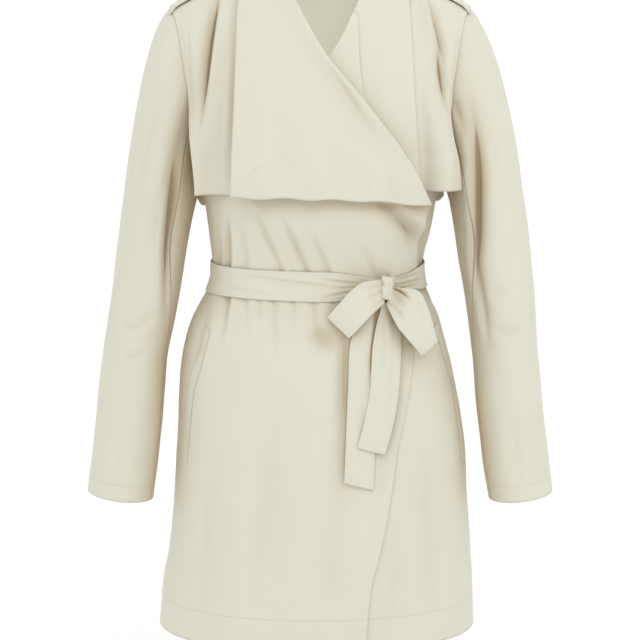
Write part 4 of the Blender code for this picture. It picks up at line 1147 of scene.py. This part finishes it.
def belt_knot(u, v):
    """The knot as a turn of the belt round its own ends, closing in above and below."""
    turn = KNOT_TURN * (2 * u - 1)
    drawn = (1 - 0.62 * np.abs(2 * v - 1) ** 7) * (1 - 0.10 * np.sin(math.pi * v))
    across = np.sign(np.sin(turn)) * np.abs(np.sin(turn)) ** KNOT_SQUARE
    out = np.sign(np.cos(turn)) * np.abs(np.cos(turn)) ** KNOT_SQUARE
    x = KNOT_X + 0.0006 + KNOT_HALF_WIDTH * drawn * across
    rise = KNOT_HALF_HEIGHT * np.sin(math.pi * (v - 0.5) * 0.92)
    z = KNOT_Z + rise - KNOT_SLANT * across
    draw, painted_shade = creases(KNOT_CREASES, x, z)
    front = out > 0
    lift = KNOT_LIFT + KNOT_LOFT * drawn * out - front * draw
    return over_front(x, z, lift), front * painted_shade


# ---- all the pieces
cloth_piece("front_right", 220, 208, front_right)
cloth_piece("front_left", 84, 180, front_left)
cloth_piece("back", 140, 180, back)
for name, flap in FLAPS.items():
    cloth_piece(name, 110, 92, storm_flap, *flap)
cloth_piece("storm_flap_back", 110, 100, storm_flap_back)
for name, spec in LAPELS.items():
    cloth_piece(name, sum(spec["columns"]), spec["rows"], lapel, spec)
cloth_piece("lapel_left_facing", 30, 50, lapel_left_facing)
cloth_piece("collar_back", 90, 60, collar_back)
for name, arm in SLEEVES.items():
    cloth_piece(f"sleeve_{name}_upper", 112, 184, sleeve, *arm, True)
    cloth_piece(f"sleeve_{name}_under", 40, 184, sleeve, *arm, False)
cloth_piece("epaulette_right", 36, 28, epaulette, -1, wall=STRAP_WALL)
cloth_piece("epaulette_left", 36, 28, epaulette, 1, wall=STRAP_WALL)
for name, rows in WELTS.items():
    cloth_piece(name, 14, 90, pocket_welt, rows)
cloth_piece("belt_band", 400, 34, belt_band)
cloth_piece("belt_knot", 90, 44, belt_knot)
for name, loop in LOOPS.items():
    cloth_piece(name, 130, 36, bow_loop, loop)
for name, tail in TAILS.items():
    cloth_piece(name, 34, 130, belt_tail, tail)


# ---- painted shade between the pieces
SHELTER_REACH = 0.10
SHELTER_SHARE = {"lapel_left": 0.4, "storm_flap_left": 0.6, "sleeve_right": 1.5, "sleeve_left": 1.3}
SHELTER_STEP = 3
RAYS = 24
CLOSE_GAP = 0.014
CLEAR = 0.0025  # how far off the cloth the rays start


def blurred(values):
    values = np.pad(values, 1, "edge")
    values = (values[:-2] + 2 * values[1:-1] + values[2:]) / 4
    return (values[:, :-2] + 2 * values[:, 1:-1] + values[:, 2:]) / 4


def occlusion_shade():
    """Gives each piece an attribute for how much cloth is close in front of it, from 0 to 1, which
    the finish paints as warm shade.
    """
    corners, quads, count = [], [], 0
    for points in GRIDS.values():
        quads += (quads_of(points) + count).tolist()
        corners += points.reshape(-1, 3).tolist()
        count = len(corners)
    tree = BVHTree.FromPolygons(corners, quads)
    number = np.arange(RAYS) + 0.5
    rise = np.sqrt(1 - number / RAYS)
    spin = number * math.pi * (3 - math.sqrt(5))
    out = np.sqrt(1 - rise**2)
    rays = np.stack([np.cos(spin) * out, np.sin(spin) * out, rise], -1)
    for name, points in GRIDS.items():
        normal = unit(np.cross(np.gradient(points, axis=1), np.gradient(points, axis=0)))
        at = [np.unique(np.append(np.arange(0, n, SHELTER_STEP), n - 1)) for n in points.shape[:2]]
        start, axis = points[np.ix_(*at)], normal[np.ix_(*at)]
        other = np.where(np.abs(axis[..., 2:]) < 0.9, [0.0, 0.0, 1.0], [1.0, 0.0, 0.0])
        side = unit(np.cross(axis, other))
        basis = np.stack([side, np.cross(axis, side), axis], -2)
        start = start + axis * CLEAR
        found = np.zeros(start.shape[:2])
        for place in np.ndindex(found.shape):
            for ray in (rays @ basis[place]).tolist():
                gap = tree.ray_cast(start[place].tolist(), ray, SHELTER_REACH)[3]
                if gap is not None:
                    near = min(gap / CLOSE_GAP, 1.0)
                    found[place] += near * (1 - gap / SHELTER_REACH) / RAYS
        found = blurred(blurred(found))
        rows_of, columns_of = (np.arange(n) for n in points.shape[:2])
        wide = np.array([np.interp(columns_of, at[1], line) for line in found])
        full = np.array([np.interp(rows_of, at[0], line) for line in wide.T]).T
        shares = [share for start_of, share in SHELTER_SHARE.items() if name.startswith(start_of)]
        attribute(PIECES[name].data, "occlusion_shade", full * (shares or [1.0])[0])


occlusion_shade()


# ---- the cloth's finish
CREAM = (0.652, 0.640, 0.532)
CREAM_DEEP = (0.637, 0.623, 0.513)
CREAM_SHADE = (0.460, 0.400, 0.280)
# Painted shade colours: WARM_SHADE for creases and cast shadows, DEEP_SHADE for their darkest
# cores.
WARM_SHADE = (0.390, 0.305, 0.165)
# Painted shade where other cloth lies close in front.
OCCLUSION_SHADE = (0.545, 0.435, 0.265)
DEEP_SHADE = (0.200, 0.130, 0.060)
# Painted light: the inside of the body panels is painted lighter than the cloth, standing in for
# the light that reaches it.
INSIDE_PAINTED_LIGHT = (0.860, 0.850, 0.740)
TWILL_PITCH = 0.00085
THREAD_PITCH = 0.00060
STITCH_PITCH = 0.0030
WEAVE_RELIEF, PATCH_RELIEF = 0.000035, 0.00016


def crepe(name, lines):
    """Cream crepe with a fine twill, slow tone changes, a soft sheen and painted shade from its
    attributes. Each line is (attribute, metres from that edge, width, depth, is a stitch)."""
    material = bpy.data.materials.new(name)
    material.use_nodes = True
    nodes, link = material.node_tree.nodes, material.node_tree.links.new
    shader = nodes["Principled BSDF"].inputs

    def node(kind, **values):
        made = nodes.new(kind)
        for key, value in values.items():
            setattr(made, key, value)
        return made

    def maths(operation, a, b=None, clamp=False):
        made = node("ShaderNodeMath", operation=operation, use_clamp=clamp)
        for slot, value in enumerate((a, b)):
            if isinstance(value, (int, float)):
                made.inputs[slot].default_value = value
            elif value is not None:
                link(value, made.inputs[slot])
        return made.outputs[0]

    def plus(a, b):
        return maths("ADD", a, b)

    def times(a, b, clamp=False):
        return maths("MULTIPLY", a, b, clamp)

    def waves(value, pitch):
        return maths("SINE", times(value, 2 * math.pi / pitch))

    def blend(share, first, second):
        made = node("ShaderNodeMix", data_type="RGBA")
        link(share, made.inputs[0])
        link(first, made.inputs[6])
        made.inputs[7].default_value = (*second, 1.0)
        return made.outputs[2]

    def noise(vector, scale, detail, rough=0.5):
        made = node("ShaderNodeTexNoise")
        for key, value in (("Scale", scale), ("Detail", detail), ("Roughness", rough)):
            made.inputs[key].default_value = value
        link(vector, made.inputs["Vector"])
        return made.outputs["Fac"]

    def found(label):
        return node("ShaderNodeAttribute", attribute_name=label).outputs["Fac"]

    place = node("ShaderNodeTexCoord").outputs["Object"]
    cloth_map = node("ShaderNodeUVMap", uv_map="cloth").outputs["UV"]
    split = node("ShaderNodeSeparateXYZ")
    link(cloth_map, split.inputs[0])
    across, up = split.outputs[:2]

    patch = noise(place, 60.0, 3.0)
    grain = noise(cloth_map, 1500.0, 2.0, 0.7)
    tone = plus(times(noise(place, 9.0, 2.0), 0.55), times(patch, 0.25))
    ramp = node("ShaderNodeValToRGB")
    for end, at, colour in zip(ramp.color_ramp.elements, (0.30, 0.62), (CREAM_DEEP, CREAM)):
        end.position = at
        end.color = (*colour, 1.0)
    link(plus(tone, times(grain, 0.20)), ramp.inputs["Fac"])
    colour = ramp.outputs["Color"]

    twill = waves(plus(across, times(up, 0.62)), TWILL_PITCH)
    weave = plus(times(twill, 0.55), times(waves(up, THREAD_PITCH), 0.20))
    weave = plus(weave, times(grain, 1.6))
    relief = plus(times(weave, WEAVE_RELIEF), times(patch, PATCH_RELIEF))

    for label, at, width, depth, stitch in lines:
        away = maths("ABSOLUTE", maths("SUBTRACT", found(label), at))
        near = maths("SUBTRACT", 1.0, maths("DIVIDE", away, width), clamp=True)
        near = maths("POWER", near, 1.5)
        if stitch:
            beat = waves(across if label in ("from_low", "from_top") else up, STITCH_PITCH)
            near = times(near, plus(times(beat, 0.35), 0.65))
        relief = maths("SUBTRACT", relief, times(near, depth))
        colour = blend(times(near, min(depth / 0.0010, 0.6)), colour, CREAM_SHADE)

    # Painted shade: the painted_shade attribute darkens the colour toward WARM_SHADE, and toward
    # DEEP_SHADE where it is deepest.
    painted_shade = found("painted_shade")
    deep = times(maths("SUBTRACT", painted_shade, 0.70), 4.0, clamp=True)
    # Painted shade where other cloth lies close in front, from the occlusion_shade attribute.
    colour = blend(times(found("occlusion_shade"), 1.35, clamp=True), colour, OCCLUSION_SHADE)
    colour = blend(times(painted_shade, 0.72), colour, WARM_SHADE)
    link(blend(times(deep, 0.60), colour, DEEP_SHADE), shader["Base Color"])

    bump = node("ShaderNodeBump")
    bump.inputs["Strength"].default_value = 1.0
    bump.inputs["Distance"].default_value = 1.0
    link(relief, bump.inputs["Height"])
    link(bump.outputs["Normal"], shader["Normal"])
    link(plus(times(grain, 0.12), 0.74), shader["Roughness"])
    shader["Sheen Weight"].default_value = 0.22
    shader["Sheen Roughness"].default_value = 0.45
    shader["Specular IOR Level"].default_value = 0.30
    return material


def seams(*edges):
    return [("from_" + edge, 0.0, 0.0014, 0.0004, False) for edge in edges]


def stitches(at, width, depth, *edges):
    return [("from_" + edge, at, width, depth, True) for edge in edges]


HEM = stitches(0.040, 0.0016, 0.00035, "low")
FLAP_HEM = stitches(0.0060, 0.0010, 0.00025, "low")
BELT_EDGES = stitches(0.0030, 0.0008, 0.00020, "low", "top")
LINES = {
    "front_right": HEM + seams("left", "top"),
    "front_left": HEM + seams("right", "top"),
    "back": HEM + seams("left", "right", "top"),
    "storm_flap_back": FLAP_HEM,
    "storm_flap": FLAP_HEM + seams("top"),
    "collar_back": FLAP_HEM,
    "sleeve": stitches(0.0210, 0.0014, 0.00030, "top") + seams("left", "right", "low"),
    "epaulette": stitches(0.0050, 0.0009, 0.00018, "low", "top"),
    "pocket_welt": stitches(0.0015, 0.0009, 0.00030, "left", "right"),
    "belt_band": BELT_EDGES,
    "bow_loop": BELT_EDGES,
    "belt_tail": stitches(0.0030, 0.0008, 0.00020, "left", "right")
    + stitches(0.0040, 0.0008, 0.00020, "low"),
}

# name, flat width and length in millimetres, area in square metres, held, and what it rests on
FLAT = """
front_right 361 996 0.2648 hung front_left
front_left 306 945 0.2255 hung back
back 555 895 0.3787 hung
storm_flap_right 112 327 0.0288 hung front_right
storm_flap_left 86 302 0.0207 hung front_left
storm_flap_back 446 340 0.1060 hung back
lapel_right 273 435 0.0467 folded front_right
lapel_left 234 394 0.0396 folded front_left
lapel_left_facing 97 143 0.0052 folded lapel_left
collar_back 339 102 0.0172 folded storm_flap_back
sleeve_right_upper 329 624 0.1272 hung front_right back
sleeve_right_under 144 492 0.0358 hung sleeve_right_upper
sleeve_left_upper 329 626 0.1301 hung front_left back
sleeve_left_under 144 493 0.0362 hung sleeve_left_upper
epaulette_right 86 55 0.0038 laid storm_flap_right storm_flap_back
epaulette_left 86 55 0.0038 laid storm_flap_left storm_flap_back
pocket_welt_right 14 177 0.0024 laid front_right
pocket_welt_left 14 178 0.0023 laid front_left
belt_band 763 38 0.0258 gathered front_right front_left back
belt_knot 47 43 0.0015 folded belt_band
bow_loop_right 189 45 0.0060 folded belt_knot
bow_loop_left 212 55 0.0070 folded belt_knot
belt_tail_front 38 193 0.0063 hung belt_knot
belt_tail_back 38 234 0.0079 hung belt_knot
"""
PAINTED_LIGHT_INSIDES = ("front_right", "front_left", "back")  # their inner sides are the same cloth painted lighter, standing in for the light inside the jacket


def paint(name, colour, rough):
    material = bpy.data.materials.new(name)
    material.use_nodes = True
    shader = material.node_tree.nodes["Principled BSDF"].inputs
    shader["Base Color"].default_value = (*colour, 1.0)
    shader["Roughness"].default_value = rough
    return material


# Painted light: a lighter copy of the cloth for the inner sides of the body panels.
inside_painted_light = paint("crepe_inside_painted_light", INSIDE_PAINTED_LIGHT, 0.8)
for row in FLAT.strip().splitlines():
    name, width, length, area, held, *rests_on = row.split()
    piece = PIECES[name]
    lines = [rows for start, rows in LINES.items() if name.startswith(start)]
    piece.data.materials.append(crepe("crepe_" + name, (lines or [()])[0]))
    if name in PAINTED_LIGHT_INSIDES:
        piece.data.materials.append(inside_painted_light)
        piece.modifiers["Wall"].material_offset = 1
    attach(piece, "root")
    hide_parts(name)


# ---- floor, light, camera
FLOOR_Z = -1.05
GROUND_LIGHT = 1.03
FOCAL_PIXELS, PHOTO_PIXELS, SENSOR = 1822, 640, 36.0

bpy.ops.object.select_all(action="DESELECT")
bpy.ops.mesh.primitive_plane_add(size=16.0, location=(0.0, 0.0, FLOOR_Z))
floor = bpy.context.active_object
floor.name = "floor"
floor.data.materials.append(paint("floor", (0.98, 0.98, 0.98), 0.9))

world = bpy.data.worlds.new("studio")
bpy.context.scene.world = world
world.use_nodes = True
ground = world.node_tree.nodes["Background"].inputs
ground["Color"].default_value = (1.0, 1.0, 1.0, 1.0)
ground["Strength"].default_value = GROUND_LIGHT
bpy.context.scene.view_settings.view_transform = "Standard"


def soft_light(name, place, target, size, power):
    light = bpy.data.lights.new(name, "AREA")
    light.shape = "RECTANGLE"
    light.size, light.size_y = size
    light.energy = power
    lamp = bpy.data.objects.new(name, light)
    bpy.context.scene.collection.objects.link(lamp)
    lamp.location = place
    from_lamp = np.array(target) - np.array(place)
    turn = math.atan2(from_lamp[0], -from_lamp[1])
    tilt = math.atan2(math.hypot(from_lamp[0], from_lamp[1]), -from_lamp[2])
    lamp.rotation_euler = (tilt, 0.0, turn + math.pi)


soft_light("key_light", (1.2, -2.0, 1.7), (0.0, 0.0, -0.4), (0.6, 0.8), 11.0)
soft_light("fill_light", (-0.4, -1.9, 1.1), (0.0, 0.0, -0.1), (1.0, 1.0), 4.0)
soft_light("inside_light", (0.0, -0.03, -0.30), (0.0, 0.09, -0.06), (0.12, 0.12), 0.13)

lens = bpy.data.cameras.new("camera")
lens.lens = FOCAL_PIXELS / PHOTO_PIXELS * SENSOR
lens.sensor_width = SENSOR
lens.clip_end = 50.0
camera = bpy.data.objects.new("camera", lens)
bpy.context.scene.collection.objects.link(camera)
camera.location = (0.0, -2.3, -0.055)
camera.rotation_euler = (math.radians(80.5), 0.0, 0.0)
bpy.context.scene.camera = camera
